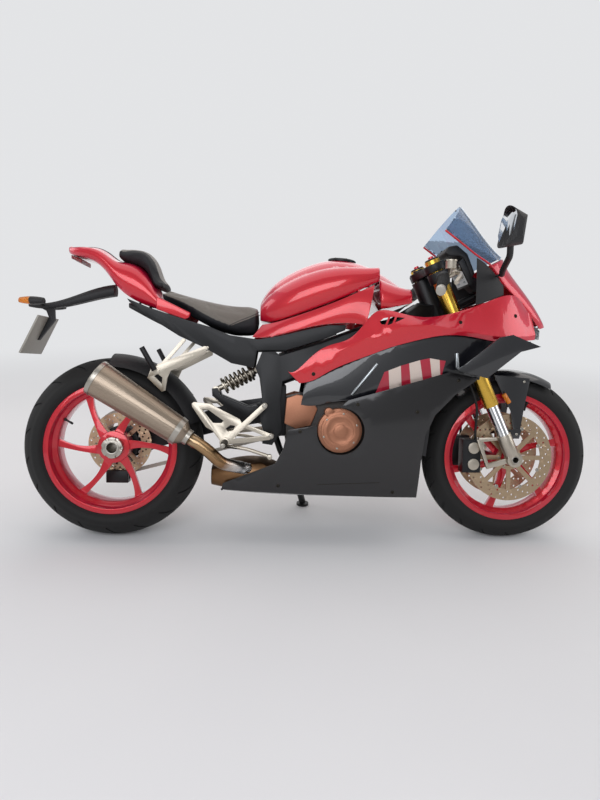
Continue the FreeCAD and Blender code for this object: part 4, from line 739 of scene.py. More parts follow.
class BIKE_OT_bodywork(bpy.types.Operator):
    """Tank, fairings, tail and the black panels"""

    bl_idname = "bike.bodywork"
    bl_label = "Bodywork"

    def execute(self, context):
        # CAD node, finish, edge radius in mm
        for name, finish, bevel in (
                ("tank", "red", 0), ("tank_covers", "red", 1.2), ("airbox_cover", "red", 0),
                ("tail_cowl", "red", 1.0), ("upper_fairing_right", "red", 1.0),
                ("upper_fairing_left", "red", 1.0), ("nose_cowl", "red", 1.0),
                ("middle_panels", "black", 1.0), ("lower_fairing_right", "charcoal", 1.0),
                ("lower_fairing_left", "charcoal", 1.0), ("belly_pan", "charcoal", 1.0),
                ("subframe_covers", "frame", 1.5), ("undertail_tray", "plastic", 1.0),
                ("cockpit_panels", "plastic", 0.8), ("chin_panel", "plastic", 1.0),
                ("winglets", "black", 1.2), ("windscreen", "screen", 0),
                ("plate_arm", "plastic", 1.0), ("number_plate", "plate", 0.6),
                ("hugger", "plastic", 0.8), ("front_fender", "black", 0.8)):
            dressed(name, finish, bevel)
        paint(bpy.data.objects["tail_cowl_skin"], "plastic", lambda place, normal: normal.x > 0.9
              and place.x > 165)
        # Red tongues that run forward from the tail beside the seat
        sides = [slab([(164, 797), (164, 838), (176, 835), (226, 812), (279, 787), (274, 771), (261, 765),
                       (215, 780)], *span, "tongue") for span in ((-127, -115), (115, 127))]
        placed(rounded(joined(sides, "tail_tongues"), 4), "red", "chassis", "red_bodywork", 60)
        return {"FINISHED"}


class BIKE_OT_chassis(bpy.types.Operator):
    """Frame, swingarm, engine, exhaust and the rigid fittings"""

    bl_idname = "bike.chassis"
    bl_label = "Chassis and engine"

    def execute(self, context):
        for name, finish, bevel in (
                ("frame", "frame", 2.0), ("swingarm", "frame", 2.0), ("engine_block", "casting", 3.0),
                ("clutch_cover", "bronze", 1.5), ("generator_cover", "bronze", 2.0),
                ("radiator", "plastic", 1.0), ("exhaust_collector", "header", 0),
                ("link_pipe", "link_pipe", 0), ("silencer", "brushed", 1.5),
                ("rearsets", "silver", 1.0), ("passenger_pegs", "silver", 1.0),
                ("side_stand", "frame", 1.0), ("rear_caliper", "frame", 2.0),
                ("front_calipers", "frame", 2.0), ("fork_outer_tubes", "gold", 0.8),
                ("fork_legs", "silver", 1.2), ("front_axle", "zinc", 0.8), ("yokes", "frame", 1.2),
                ("handlebars", "frame", 1.0), ("levers", "silver", 0.8),
                ("brake_hoses", "rubber", 0)):
            dressed(name, finish, bevel)

        piece = bpy.data.objects
        # Chrome inner tubes above the cast fork bottoms
        tube, casting_top = 22, leg_spot(95, 0, 0)
        legs = [(leg_spot(100, 0, hand * LEG_SIDE), leg_spot(200, 0, hand * LEG_SIDE)) for hand in HANDS]
        paint(piece["fork_legs_skin"], "chrome", lambda place, normal: min(
            off_axis(place, *leg) for leg in legs) < tube and (place - casting_top).dot(LEG_UP) > 0)
        # Bright pistons of the calipers, and weights at the ends of the handlebars
        paint(piece["front_calipers_skin"], "silver", lambda place, normal: abs(place.y) > 89.8)
        paint(piece["handlebars_skin"], "zinc", lambda place, normal: abs(place.y) > 349)
        # Black clamps and fluid lids on the lever pieces
        bars = [bar(hand) for hand in HANDS]
        paint(piece["levers_skin"], "plastic", lambda place, normal: min(
            off_axis(place, *ends) for ends in bars) < 22.5)
        lid = leg_spot(CLAMP, 12, 0).z + 34
        paint(piece["levers_skin"], "dark_steel", lambda place, normal: place.z > lid and normal.z > -0.5
              and abs(place.y) < 215)
        # Dark footrests and black passenger footrests
        paint(piece["rearsets_skin"], "dark_steel", lambda place, normal: abs(place.y) > 182
              and place.x < 440)
        pegs = [(Vector((164, hand * 144, 592)), Vector((122, hand * 152, 668))) for hand in HANDS]
        paint(piece["passenger_pegs_skin"], "frame", lambda place, normal: min(
            off_axis(place, *peg) for peg in pegs) < 10 and place.z > 610)

        # Bronze cover ahead of the frame on both sides of the crankcase
        covers = [slab([(600, 420), (606, 506), (642, 519), (690, 512), (712, 470), (690, 414), (640, 402)],
                       *span, "cover") for span in ((-146, -137), (137, 146))]
        placed(rounded(joined(covers, "crankcase_covers"), 3), "bronze", "chassis", "engine_alloy")

        # Block for the gearbox's casting that closes the view between the frame and the crankcase; its black
        # is painted shade
        filler = slab([(560, 372), (560, 548), (606, 548), (606, 372)], -100, 100, "gearbox_shade_block")
        placed(rounded(filler, 4, 2), "plastic", "chassis", "engine_alloy")

        # Fins of the radiator, seen past the front wheel
        deselect()
        low_fin, fin_size, step = Vector((1079, 0, 330)), Vector((3, 296, 1)), Vector((0.875, 0, 7))
        bpy.ops.mesh.primitive_cube_add(size=1, location=low_fin * MM)
        fins = context.object
        fins.scale = fin_size * MM
        bpy.ops.object.transform_apply()
        apply_modifier(fins, "ARRAY", count=40, use_relative_offset=False, use_constant_offset=True,
                       constant_offset_displace=step * MM)
        fins.name = fins.data.name = "radiator_fins"
        placed(fins, "zinc", "chassis", "steel")
        return {"FINISHED"}


class BIKE_OT_wheels(bpy.types.Operator):
    """Rims, discs, sprocket, axle and valve stems"""

    bl_idname = "bike.wheels"
    bl_label = "Wheels"

    def execute(self, context):
        for name, finish, bevel in (
                ("rear_rim", "wheel_red", 1.6), ("front_rim", "wheel_red", 1.6),
                ("rear_disc", "rear_disc", 0), ("front_discs", "front_disc", 0),
                ("rear_sprocket", "zinc", 0.4), ("rear_axle", "zinc", 1.0)):
            dressed(name, finish, bevel)

        def around(centre, y, radius, count, start=0.0):
            """Places in a ring on a wheel's side, that face away from the wheel."""
            turns = [math.radians(start + 360 * index / count) for index in range(count)]
            return [(spot(*(centre + Vector((math.cos(turn) * radius, y, math.sin(turn) * radius)))),
                     LEFT if y > 0 else -LEFT) for turn in turns]

        rear, front = upright(REAR_AXLE), upright(FRONT_AXLE)
        front_disc, rear_disc, nuts = 66.5, 67, 154
        bobbin = [(-0.5, 0), (-0.5, 6.5), (1.2, 6.5), (1.6, 6.0), (1.6, 3.4), (0.4, 3.0), (0.4, 0)]
        for name, places, wheel in (
                ("front_disc_bobbins", around(front, -front_disc, 112, 8, 22.5)
                 + around(front, front_disc, 112, 8, 22.5), "front_wheel"),
                ("rear_disc_bobbins", around(rear, rear_disc, 78, 8, 22.5), "rear_wheel")):
            finished(stamped(turning(bobbin, 16), places, name), "zinc", wheel, "steel", 40)
        for name, radius, places, wheel in (
                ("front_disc_screws", 4.2, around(front, -front_disc, 37.5, 6)
                 + around(front, front_disc, 37.5, 6), "front_wheel"),
                ("sprocket_nuts", 5.0, around(rear, nuts, 52, 6), "rear_wheel")):
            finished(cap_screws(radius, places, name), "zinc", wheel, "steel")

        # Valve stems stand on the rims' wells and point to the axles
        stem = [(-1, 0), (-1, 6), (3, 5.5), (8, 3.6), (20, 3.4), (20, 4.2), (31, 4.2), (32, 3.4), (32, 0)]
        inside, well = 90, Vector((0, -34, 0))
        for name, centre, turn in (("rear", rear, 150), ("front", front, 70)):
            way = Vector((math.cos(math.radians(turn)), 0, math.sin(math.radians(turn))))
            place, _ = cast(bpy.data.objects[name + "_rim_skin"], spot(*(centre + way * inside + well)),
                            TO_PARKED @ way)
            placed(lathe(stem, upright(place), -way, name + "_valve_stem", 14), "rubber", name + "_wheel",
                   "grip_rubber", 40)
        return {"FINISHED"}


# Shape shared by both tyres: angle of the tread's edge, and radii of the bead and of the wall's end
TREAD_END = math.radians(56)
BEAD_RADIUS, LIP_RADIUS, WALL = 218.0, 230.3, 6.3
# The tread's grid has this many cells from groove to groove, and turns this far over this width
GROOVE_CELLS = 12
GROOVE_SLANT, SLANT_WIDTH = 0.30, 90


def tyre_outline(radius, half_width, crown, rim_half):
    """Half-width and radius along a tyre's section, and the half-width of its tread."""
    steps = 14
    tread = []
    for index in range(-steps, steps + 1):
        turn = TREAD_END * index / steps
        tread.append((crown * math.sin(turn), radius - crown * (1 - math.cos(turn))))
    edge, rim = tread[-1], (rim_half, LIP_RADIUS)
    widest = (half_width, (BEAD_RADIUS + edge[1]) / 2 + 6)
    # The wall is a quadratic curve through the tread's edge, the widest point and the rim
    control = [(b - 0.25 * (a + c)) * 2 for a, b, c in zip(edge, widest, rim)]
    wall = [[(1 - share) ** 2 * a + 2 * (1 - share) * share * b + share ** 2 * c
             for a, b, c in zip(edge, control, rim)] for share in (0.12, 0.25, 0.4, 0.55, 0.7, 0.84, 1.0)]
    one_side = wall + [(rim_half - WALL, LIP_RADIUS), (rim_half - WALL, BEAD_RADIUS)]
    return [(-y, r) for y, r in reversed(one_side)] + tread + one_side, edge[0]


class BIKE_OT_tyres(bpy.types.Operator):
    """Tyres with their tread"""

    bl_idname = "bike.tyres"
    bl_label = "Tyres"

    def execute(self, context):
        depth = settings().groove_depth
        # node, axle, radius, half-width, crown, rim half-width, grooves round the tyre, wheel
        for name, axle, radius, half, crown, rim_half, count, wheel in (
                ("rear_tyre", REAR_AXLE, 315, 90, 92, 76, 18, "rear_wheel"),
                ("front_tyre", FRONT_AXLE, 300, 60, 60, 50, 20, "front_wheel")):
            outline, edge = tyre_outline(radius, half, crown, rim_half)
            hub = UPRIGHT_FROM_PARKED @ axle

            def slant(y):
                return GROOVE_SLANT * min(abs(y), edge) / SLANT_WIDTH

            tyre = ring_of([hub + Vector((math.sin(slant(y)) * r, y, math.cos(slant(y)) * r)) * MM
                            for y, r in outline], name + "_tread")
            in_edit_mode(tyre, lambda: bpy.ops.mesh.spin(steps=count * GROOVE_CELLS, angle=math.tau,
                                                         center=hub, axis=(0, 1, 0)))
            parked(merged(tyre))

            def in_groove(place, normal):
                ahead, up = place.x - hub.x / MM, place.z - hub.z / MM
                share = abs(place.y) / edge
                if not 0.10 <= share <= 0.93 or math.hypot(ahead, up) < radius - crown * 0.5:
                    return False
                turns = (math.atan2(ahead, up) - slant(place.y)) / math.tau * count
                cell = (turns + (0.5 if place.y > 0 else 0)) % 1 * GROOVE_CELLS
                # One groove runs out from the middle, the next one in from the edge
                return cell < 1 and share < 0.52 or 5 <= cell < 6 and share > 0.42

            select_faces(tyre, in_groove)
            in_edit_mode(tyre, lambda: bpy.ops.mesh.extrude_region_shrink_fatten(
                TRANSFORM_OT_shrink_fatten={"value": -depth}), whole=False)
            finished(tyre, name, wheel, "tyre_rubber", 34)
            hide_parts(name)
        return {"FINISHED"}


def chain_path(pitch):
    """Places of the chain's pins round both sprockets, on the upright bike in millimetres."""
    rear, front = Vector((0, 0, AXLE_HEIGHT / MM)), Vector((644, 0, 410))
    # Radius of the pins' path round the rear and the front sprocket
    big, small = 118, 45.5
    gap = front - rear
    tilt = math.atan2(gap.z, gap.x)
    wrap = math.acos((big - small) / gap.length)
    points = []
    # centre, radius, first and last angle, points
    for centre, radius, begin, end, count in (
            (front, small, tilt + wrap, tilt - wrap, 40),
            (rear, big, tilt - wrap, tilt + wrap - math.tau, 160)):
        for index in range(count):
            turn = begin + (end - begin) * index / count
            points.append(centre + Vector((math.cos(turn), 0, math.sin(turn))) * radius)
    points.append(points[0])
    lengths = [0.0]
    for before, after in zip(points, points[1:]):
        lengths.append(lengths[-1] + (after - before).length)
    count = 2 * round(lengths[-1] / pitch / 2)
    pins, first = [], 0
    for index in range(count):
        at = lengths[-1] * index / count
        while lengths[first + 1] < at:
            first += 1
        share = (at - lengths[first]) / (lengths[first + 1] - lengths[first])
        pins.append(points[first].lerp(points[first + 1], share))
    return pins


class BIKE_OT_chain(bpy.types.Operator):
    """Drive chain of plates, rollers and pins"""

    bl_idname = "bike.chain"
    bl_label = "Chain"

    def execute(self, context):
        pins = chain_path(settings().chain_pitch / MM)
        line = 152
        parts = []
        for index, (pin, after) in enumerate(zip(pins, pins[1:] + pins[:1])):
            middle, run = (pin + after) / 2, after - pin
            # Outer and inner plates take turns
            offset = 7.0 if index % 2 else 5.0
            for side in HANDS:
                deselect()
                bpy.ops.mesh.primitive_cylinder_add(vertices=12, radius=6.6 * MM, depth=1.7 * MM,
                                                    rotation=(math.pi / 2, 0, 0))
                plate = context.object
                bpy.ops.object.transform_apply()
                for vertex in plate.data.vertices:
                    vertex.co.x += run.length / 2 * MM * (1 if vertex.co.x > 0 else -1)
                plate.data.transform(
                    Matrix.Translation(Vector((middle.x, line + side * offset, middle.z)) * MM)
                    @ Matrix.Rotation(-math.atan2(run.z, run.x), 4, "Y"))
                parts.append(plate)
            # Pin and roller: half length, radius, sides
            for half, radius, sides in ((7.8, 2.6, 8), (4.2, 4.6, 10)):
                parts.append(rod((pin.x, line - half, pin.z), (pin.x, line + half, pin.z), radius, sides))
        chain = placed(joined(parts, "chain_links"), "zinc", "chassis", "steel", 40)
        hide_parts("chain")
        return {"FINISHED"}


class BIKE_OT_shock(bpy.types.Operator):
    """Shock absorber with its coil spring"""

    bl_idname = "bike.shock"
    bl_label = "Shock absorber"

    def execute(self, context):
        low, high, across = Vector((356, 0, 524)), Vector((506, 0, 602)), Vector((0, 14, 0))
        axis, length = (high - low).normalized(), (high - low).length
        parts = [rod(eye - across, eye + across, 13.5) for eye in (low, high)]
        # Rod, damper and the spring's seats: start, end and radius along the axis
        parts += [rod(low + axis * start, low + axis * end, radius) for start, end, radius in (
            (0, 60, 10.5), (50, length - 8, 13), (30, 37, 30.5), (37, 42, 24),
            (length - 34, length - 26, 30.5), (length - 26, length - 18, 20))]
        body = placed(rounded(joined(parts, "shock_body"), 0.8, 2), "silver", "chassis", "silver_alloy")

        coil_start, coil_length, coil_steps = 46, length - 84, 180
        deselect()
        bpy.ops.mesh.primitive_circle_add(vertices=12, radius=5.2 * MM, location=(25 * MM, 0, 0),
                                          rotation=(math.pi / 2, 0, 0))
        coil = context.object
        bpy.ops.object.transform_apply()
        apply_modifier(coil, "SCREW", axis="Z", angle=math.tau * 5, screw_offset=coil_length * MM,
                       iterations=1, steps=coil_steps, render_steps=coil_steps, use_normal_calculate=True)
        in_edit_mode(coil, lambda: bpy.ops.mesh.select_all(action="DESELECT"),
                     lambda: bpy.ops.mesh.select_non_manifold(), lambda: bpy.ops.mesh.edge_face_add())
        coil.data.transform(Matrix.Translation((low + axis * coil_start) * MM)
                            @ facing(axis).to_matrix().to_4x4())
        coil.name = coil.data.name = "shock_spring"
        placed(merged(coil), "silver", "chassis", "silver_alloy", 60)
        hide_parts("shock_absorber")
        return {"FINISHED"}


def swollen(name, cap):
    """A seat's CAD solid as padded foam: remeshed, swollen under its cover, and smoothed."""
    seat = merged_copy(name, name + "_cushion")
    apply_modifier(seat, "REMESH", mode="VOXEL", voxel_size=5 * MM)
    apply_modifier(seat, "SMOOTH", factor=0.5, iterations=4)
    rest = [vertex.co.copy() for vertex in seat.data.vertices]
    pick(seat)
    cloth = seat.modifiers.new("Cloth", "CLOTH")
    cloth.settings.use_pressure = True
    cloth.settings.uniform_pressure_force = 4
    cloth.settings.effector_weights.gravity = 0
    cloth.settings.quality = 5
    scene = bpy.context.scene
    for number in range(1, 21):
        scene.frame_set(number)
    bpy.ops.object.modifier_apply(modifier=cloth.name)
    scene.frame_set(1)
    for vertex, start in zip(seat.data.vertices, rest):
        move = vertex.co - start
        if move.length > cap:
            vertex.co = start + move * (cap / move.length)
    apply_modifier(seat, "SMOOTH", factor=0.5, iterations=3)
    apply_modifier(seat, "SUBSURF", levels=1, render_levels=1)
    finished(seat, "vinyl", "chassis", "seat_cover", 60)
    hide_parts(name)
    return seat


class BIKE_OT_seats(bpy.types.Operator):
    """Padded seats with their covers"""

    bl_idname = "bike.seats"
    bl_label = "Seats"

    def execute(self, context):
        cap = settings().seat_swell
        rider = swollen("rider_seat", cap)
        # The dark side ends along a line over the front half and another over the rear; above it the top
        # keeps its grey with painted light
        paint(rider, "vinyl_side", lambda place, normal: place.z < 746 + (place.x - 409) * 0.465
              and place.x > 392 or normal.z < -0.2 or place.z < 856 - (place.x - 172) * 0.481)
        pad = swollen("passenger_seat", cap * 0.7)
        # The pad's top strip keeps the grey with painted light; its sides and underside are dark
        paint(pad, "vinyl_side", lambda place, normal: abs(place.y) > 52 or normal.z < 0)
        seams = [bead([(404, hand * 116, 746), (430, hand * 106, 760), (460, hand * 96, 774),
                       (490, hand * 80, 787), (508, hand * 62, 800)], 1.3, "seam") for hand in HANDS]
        placed(joined(seams, "seat_piping"), "thread", "chassis", "seat_cover", 60)
        return {"FINISHED"}


class BIKE_OT_stripes(bpy.types.Operator):
    """Stripe patch on both middle panels"""

    bl_idname = "bike.stripes"
    bl_label = "Stripes"

    # Outline of the patch in the side view, in order, with its inside on the right of each run
    OUTLINE = ((899, 515), (931, 600), (985, 622), (1049, 642), (1082, 649), (1137, 641), (1126, 595))
    # Lower and upper end of the edges between the stripes
    EDGES = (((951, 535), (945, 602)), ((991, 550), (985, 622)), ((1022, 560), (1013, 628)),
             ((1063, 570), (1049, 642)), ((1093, 580), (1082, 649)), ((1121, 588), (1116, 642)))

    def execute(self, context):
        patch = merged_copy("middle_panels", "stripe_patch")
        keep_faces(patch, lambda place, normal: normal.y * place.y >= 0 and abs(normal.y) >= 0.5
                   and 880 < place.x < 1165 and 490 < place.z < 690)
        for first, second in zip(self.OUTLINE, self.OUTLINE[1:] + self.OUTLINE[:1]):
            self.slice(patch, first, second, True)
        for low, high in self.EDGES:
            self.slice(patch, low, high, False)
        for finish in ("stripe_red", "stripe_pale"):
            patch.data.materials.append(FINISH[finish])
        for face in patch.data.polygons:
            place = upright(face.center)
            passed = sum((high[0] - low[0]) * (place.z - low[1]) < (high[1] - low[1]) * (place.x - low[0])
                         for low, high in self.EDGES)
            face.material_index = passed % 2
        apply_modifier(patch, "SOLIDIFY", thickness=0.5 * MM, offset=1)
        finished(patch, "stripe_red", "chassis", "red_bodywork", 40)
        return {"FINISHED"}

    def slice(self, piece, first, second, clear):
        """Cut along a line of the side view; clear drops what lies left of it."""
        start, end = spot(first[0], 0, first[1]), spot(second[0], 0, second[1])
        cut(piece, start, (end - start).cross(LEFT).normalized(), clear)


class BIKE_OT_fasteners(bpy.types.Operator):
    """Screws on the fairings, the engine's covers and the controls"""

    bl_idname = "bike.fasteners"
    bl_label = "Fasteners"

    def execute(self, context):
        def ring(x, z, radius):
            return [(x + math.cos(turn) * radius, z + math.sin(turn) * radius)
                    for turn in (math.radians(20 + 60 * index) for index in range(6))]

        # screws' name, the nodes they hold, their places in the side view, head radius, finish and body
        for name, nodes, spots, radius, finish, body in (
                ("fairing_screws", ("upper_fairing_right", "upper_fairing_left"),
                 ((695, 589), (1180, 770), (1388, 800)), 6.5, "dark_steel", "chassis"),
                ("lower_fairing_screws", ("lower_fairing_right", "lower_fairing_left"),
                 ((652, 398), (582, 207), (974, 189), (1040, 470), (840, 492), (1180, 576)), 6.0,
                 "dark_steel", "chassis"),
                ("hanger_bolts", ("rearsets",), ((533, 480), (556, 378), (402, 356)), 8.5, "zinc",
                 "chassis"),
                ("fork_screws", ("front_fender",), ((1390, 388), (1424, 388), (1450, 574)), 4.5, "zinc",
                 "steering"),
                ("clutch_cover_screws", ("clutch_cover",), ring(786, 401, 58), 4.0, "zinc", "chassis"),
                ("generator_cover_screws", ("generator_cover",), ring(806, 381, 60), 4.0, "zinc",
                 "chassis")):
            places = []
            for node_name in nodes:
                # A piece of one side takes screws on its own side only
                hand = ("left" in node_name) - ("right" in node_name)
                places += [(place, normal) for place, normal
                           in found(bpy.data.objects[node_name + "_skin"], spots)
                           if upright(place).y * hand >= 0]
            finished(cap_screws(radius, places, name), finish, body, "steel", 40)
        return {"FINISHED"}


class BIKE_OT_trim(bpy.types.Operator):
    """Edge strip of the screen, struts beside the stripes, fuel cap and reflectors"""

    bl_idname = "bike.trim"
    bl_label = "Trim"

    def execute(self, context):
        rims = [bead([(1130, hand * 149, 1080), (1190, hand * 149.5, 1037), (1242, hand * 142, 1000),
                      (1296, hand * 130, 974), (1330, hand * 118, 936), (1365, hand * 106, 896),
                      (1414, hand * 89, 859)], 3.4, "rim") for hand in HANDS]
        placed(joined(rims, "screen_edge_strip"), "red", "chassis", "red_bodywork", 60)

        # Black trim along the top of the tail, behind the passenger's pad: a thin copy of its outside
        trim = merged_copy("tail_cowl", "tail_top_trim")
        for place, normal in (((0, 26, 0), (0, 1, 0)), ((0, -26, 0), (0, -1, 0)), ((34, 0, 0), (1, 0, 0)),
                              ((-112, 0, 0), (-1, 0, 0))):
            cut(trim, spot(*place), TO_PARKED @ Vector(normal))
        keep_faces(trim, lambda place, normal: normal.z > 0.5)
        apply_modifier(trim, "SOLIDIFY", thickness=1.2 * MM, offset=1)
        finished(trim, "plastic", "chassis", "black_paint", 40)

        # Groove near the lower edge of the right fairing, drawn as a dark line of painted shade
        wall = bpy.data.objects["lower_fairing_right_skin"]
        line = [upright(from_side(wall, 715 + 35 * index, 216 + 1.5 * index, -1)) for index in range(7)]
        placed(bead(line, 1.0, "fairing_groove_painted_shade"), "dark_steel", "chassis", "black_paint", 60)

        # Struts beside the stripes, pale as a painted sheen: lower and upper end in the side view, radius
        panels = bpy.data.objects["middle_panels_skin"]
        struts = []
        for hand in HANDS:
            for low, high, radius in (((824, 521), (906, 628), 5.0), ((1179, 612), (1174, 668), 6.0)):
                ends = [upright(from_side(panels, x, z, hand)) + Vector((0, hand * 2, 0))
                        for x, z in (low, high)]
                struts.append(rod(*ends, radius, 12))
        bars = rounded(parked(joined(struts, "panel_struts")), 1.2, 2, angle_limit=1.0)
        finished(bars, "strut_painted_sheen", "chassis", "steel", 40)

        # Fuel cap on the top of the tank, with a ring of screws
        place, normal = cast(bpy.data.objects["tank_skin"], spot(800, 0, 1200), -UP)
        cap = turning([(-6, 0), (-6, 50), (1.5, 50), (3.5, 47), (3.5, 40), (2.4, 39), (2.4, 33), (5, 31),
                       (6.2, 20), (6.2, 0)], 40)
        finished(stamped(cap, [(place, normal)], "fuel_cap"), "frame", "chassis", "black_frame_paint", 40)
        side = normal.cross(LEFT).normalized()
        ring, height = 43.5 * MM, 3.5 * MM
        places = [(place + (side * math.cos(turn) + LEFT * math.sin(turn)) * ring + normal * height, normal)
                  for turn in (math.tau * index / 7 for index in range(7))]
        finished(cap_screws(3.2, places, "fuel_cap_screws"), "zinc", "chassis", "steel", 40)

        # Amber reflectors on the fork, each on its bracket
        lenses, brackets = [], []
        for hand in HANDS:
            low, high = Vector((1398, hand * 80, 497)), Vector((1376, hand * 80, 530))
            lenses.append(rod(low, high, 8.5, 20))
            brackets.append(rod(low + Vector((-3, hand * -3, -14)), high + Vector((3, hand * -3, 10)), 5.0,
                                12))
        amber = rounded(parked(joined(lenses, "fork_reflectors")), 3)
        finished(amber, "amber", "steering", "lamp_lens", 40)
        placed(joined(brackets, "reflector_brackets"), "plastic", "steering", "black_paint", 40)
        return {"FINISHED"}


class BIKE_OT_exhaust_trim(bpy.types.Operator):
    """Rolled end, bands and rivets of the silencer"""

    bl_idname = "bike.exhaust_trim"
    bl_label = "Silencer trim"

    def execute(self, context):
        rear, front = Vector((-16, -200, 567)), Vector((258, -200, 392))
        axis, length = (front - rear).normalized(), (front - rear).length
        # Rolled lip round the outlet, band ahead of the can, and clamp on the link pipe
        rings = [lathe(profile, rear, axis, "ring", steps) for profile, steps in (
            ([(0, 60.4), (-1.5, 59), (-2.2, 55), (-2.2, 33), (0, 30.4), (8, 30.2), (8, 33), (1.5, 34.5),
              (1.5, 56), (14, 60.6), (14, 61.2), (2, 61.2)], 56),
            ([(length - 16, 48.0), (length - 16, 49.2), (length + 2, 47.0), (length + 2, 45.4)], 56),
            ([(length + 22, 24.2), (length + 22, 27), (length + 36, 27), (length + 36, 21.2)], 40))]
        placed(joined(rings, "silencer_trim"), "zinc", "chassis", "steel", 35)
        core = lathe([(60, 0), (60, 28.5), (0, 29.6), (0, 30.2), (62, 29.2), (62, 0)], rear, axis,
                     "silencer_core", 40)
        placed(core, "dark_steel", "chassis", "steel", 35)
        across = Vector((0, 1, 0))
        side = axis.cross(across).normalized()
        rivets = []
        for turn in (math.tau * index / 10 for index in range(10)):
            out = side * math.cos(turn) + across * math.sin(turn)
            rivets.append((spot(*(rear + axis * 8 + out * 61.0)), TO_PARKED @ out))
        finished(cap_screws(2.6, rivets, "silencer_rivets"), "zinc", "chassis", "steel", 40)
        return {"FINISHED"}


class BIKE_OT_controls(bpy.types.Operator):
    """Mirrors, dash, fork caps and grips"""

    bl_idname = "bike.controls"
    bl_label = "Controls"

    def execute(self, context):
        dressed("dash", "plastic", 1.0)
        self.mirror_glass(dressed("mirrors", "plastic", 0.8))
        self.display()

        # Caps of the fork's legs, with their red adjusters
        leg_top = 752
        feet = [leg_spot(leg_top, 0, hand * LEG_SIDE) for hand in HANDS]
        for name, profile, steps, finish in (
                ("fork_caps", [(-2, 0), (-2, 24), (4, 24), (6, 21), (6, 0)], 32, "frame"),
                ("fork_adjusters", [(5, 0), (5, 10), (13, 9), (14, 7), (14, 0)], 16, "wheel_red")):
            caps = [lathe(profile, foot, LEG_UP, "cap", steps) for foot in feet]
            placed(joined(caps, name), finish, "steering", "steel")

        grips = []
        for start, end in (bar(hand) for hand in HANDS):
            length = (end - start).length
            # Along and radius: the inner flange, the ribs, and the outer end
            profile = [(length * 0.38, 11.2), (length * 0.38, 22.6), (length * 0.385 + 3, 22.8),
                       (length * 0.42, 19)]
            ribs = 26
            for index in range(ribs):
                at = length * (0.43 + 0.52 * index / ribs)
                profile += [(at, 15.6), (at + 1.2, 16.9), (at + 2.6, 16.9), (at + 3.4, 15.6)]
            profile += [(length * 0.965, 16.8), (length * 0.97, 15.8), (length * 0.97, 11.2)]
            grips.append(lathe(profile, start, (end - start).normalized(), "grip", 32))
        rubber = placed(joined(grips, "ribbed_grips"), "rubber", "steering", "grip_rubber", 40)
        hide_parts("grips")
        return {"FINISHED"}

    def mirror_glass(self, mirrors):
        """Set a glass into the rear face of each mirror."""
        select_faces(mirrors, lambda place, normal: normal.x < -0.75 and abs(place.y) > 296
                     and place.z > 995)
        in_edit_mode(mirrors, lambda: bpy.ops.mesh.dissolve_faces(),
                     lambda: bpy.ops.mesh.inset(thickness=5 * MM, depth=-1.2 * MM, use_boundary=True),
                     whole=False)
        mirrors.data.materials.append(FINISH["mirror"])
        glass = [face for face in mirrors.data.polygons if face.select]
        for face in glass:
            face.material_index = 1
            face.use_smooth = False
        # Each glass is pressed into one plane
        for hand in HANDS:
            pane = [face for face in glass if face.center.y * hand > 0]
            outward = sum((face.normal * face.area for face in pane), Vector()).normalized()
            rim = {index for face in pane for index in face.vertices}
            corners = [mirrors.data.vertices[index] for index in rim]
            middle = sum((corner.co for corner in corners), Vector()) / len(corners)
            for corner in corners:
                corner.co = corner.co - outward * (corner.co - middle).dot(outward)

    def display(self):
        """Display on the rider's side of the dash, with plain bars, under a hood"""
        top, down, out = Vector((1204, 0, 990)), Vector((0.46, 0, -0.888)), Vector((-0.888, 0, -0.46))

        def on_dash(first, last, low, high, near, far, name):
            """A slab between two places down the dash, two across it and two out of it."""
            corners = [top + down * along + out * depth
                       for along, depth in ((first, near), (last, near), (last, far), (first, far))]
            return slab([(point.x, point.z) for point in corners], low, high, name)

        placed(on_dash(7, 84, -62, 62, 0, 1.4, "dash_glass"), "display", "chassis", "smoked_screen")
        bars = [(48 - index * 3, 54, -46 + index * 11, -39 + index * 11) for index in range(9)]
        bars += [(62, 64, -46, 49), (70, 76, -46, -20), (70, 76, 20, 49)]
        segments = [on_dash(*place, 1.3, 1.7, "bar") for place in bars]
        placed(joined(segments, "dash_segments"), "display_bar", "chassis", "smoked_screen")
        hood = slab([(1152, 1020), (1166, 1042), (1196, 1048), (1234, 1018), (1262, 952), (1252, 935),
                     (1222, 1000), (1206, 1010), (1170, 1008)], -72, 72, "dash_hood")
        placed(rounded(hood, 5), "plastic", "chassis", "matt_black_plastic")


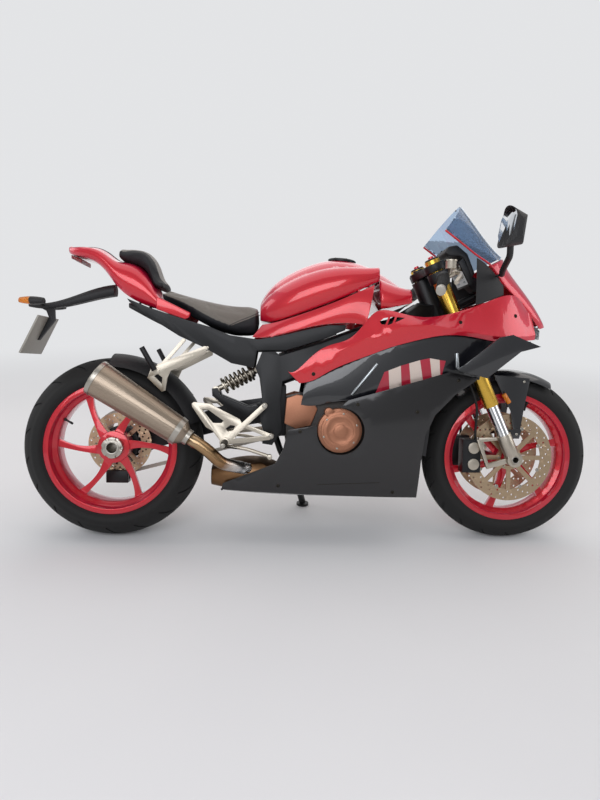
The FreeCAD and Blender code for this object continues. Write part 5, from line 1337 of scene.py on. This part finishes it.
class BIKE_OT_lamps(bpy.types.Operator):
    """Headlamps, tail lamp and the plate's screws"""

    bl_idname = "bike.lamps"
    bl_label = "Lamps"

    def execute(self, context):
        heads = dressed("headlights", "lens", 1.0)
        # The back of each unit is its mirrored bowl
        paint(heads, "chrome", lambda place, normal: normal.x < 0.1)
        dressed("tail_light", "red_lens", 1.0)
        paint(bpy.data.objects["plate_arm_skin"], "amber",
              lambda place, normal: abs(place.y) > 83 and place.x < -256)
        bulbs = [rod((x - 26, hand * y, 756), (x, hand * y, 757), 8, 20, 11)
                 for hand in HANDS for y, x in ((34, 1480), (62, 1458))]
        placed(joined(bulbs, "headlight_bulbs"), "display_bar", "chassis", "lamp_lens", 40)

        # Screws near the corners of the blank plate: share of its height, y
        high, low = Vector((-238, 0, 772)), Vector((-302, 0, 644))
        out = Vector((-0.894, 0, 0.447))
        places = [(spot(*(high.lerp(low, share) + Vector((0, y, 0)))), TO_PARKED @ out)
                  for share, y in ((0.1, -60), (0.1, 60), (0.9, -60), (0.9, 60))]
        finished(cap_screws(5.0, places, "plate_screws"), "zinc", "chassis", "steel")
        return {"FINISHED"}


class BIKE_PT_panel(bpy.types.Panel):
    """Lists the bike's operators and settings"""

    bl_idname = "BIKE_PT_panel"
    bl_label = "Sport bike"
    bl_space_type = "VIEW_3D"
    bl_region_type = "UI"
    bl_category = "Bike"

    def draw(self, context):
        for operator in OPERATORS:
            self.layout.operator(operator.bl_idname)
        for name in BikeLooks.__annotations__:
            self.layout.prop(context.scene.bike_looks, name)


OPERATORS = (BIKE_OT_stage, BIKE_OT_bodywork, BIKE_OT_chassis, BIKE_OT_wheels, BIKE_OT_tyres, BIKE_OT_chain,
             BIKE_OT_shock, BIKE_OT_seats, BIKE_OT_stripes, BIKE_OT_fasteners, BIKE_OT_trim,
             BIKE_OT_exhaust_trim, BIKE_OT_controls, BIKE_OT_lamps)


def register():
    for kind in (BikeLooks, *OPERATORS, BIKE_PT_panel):
        bpy.utils.register_class(kind)
    bpy.types.Scene.bike_looks = bpy.props.PointerProperty(type=BikeLooks)


def unregister():
    del bpy.types.Scene.bike_looks
    for kind in reversed((BikeLooks, *OPERATORS, BIKE_PT_panel)):
        bpy.utils.unregister_class(kind)


def main():
    register()
    make_finishes()
    for operator in OPERATORS:
        getattr(bpy.ops.bike, operator.bl_idname.split(".")[1])()
    deselect()


if __name__ == "__main__":
    main()
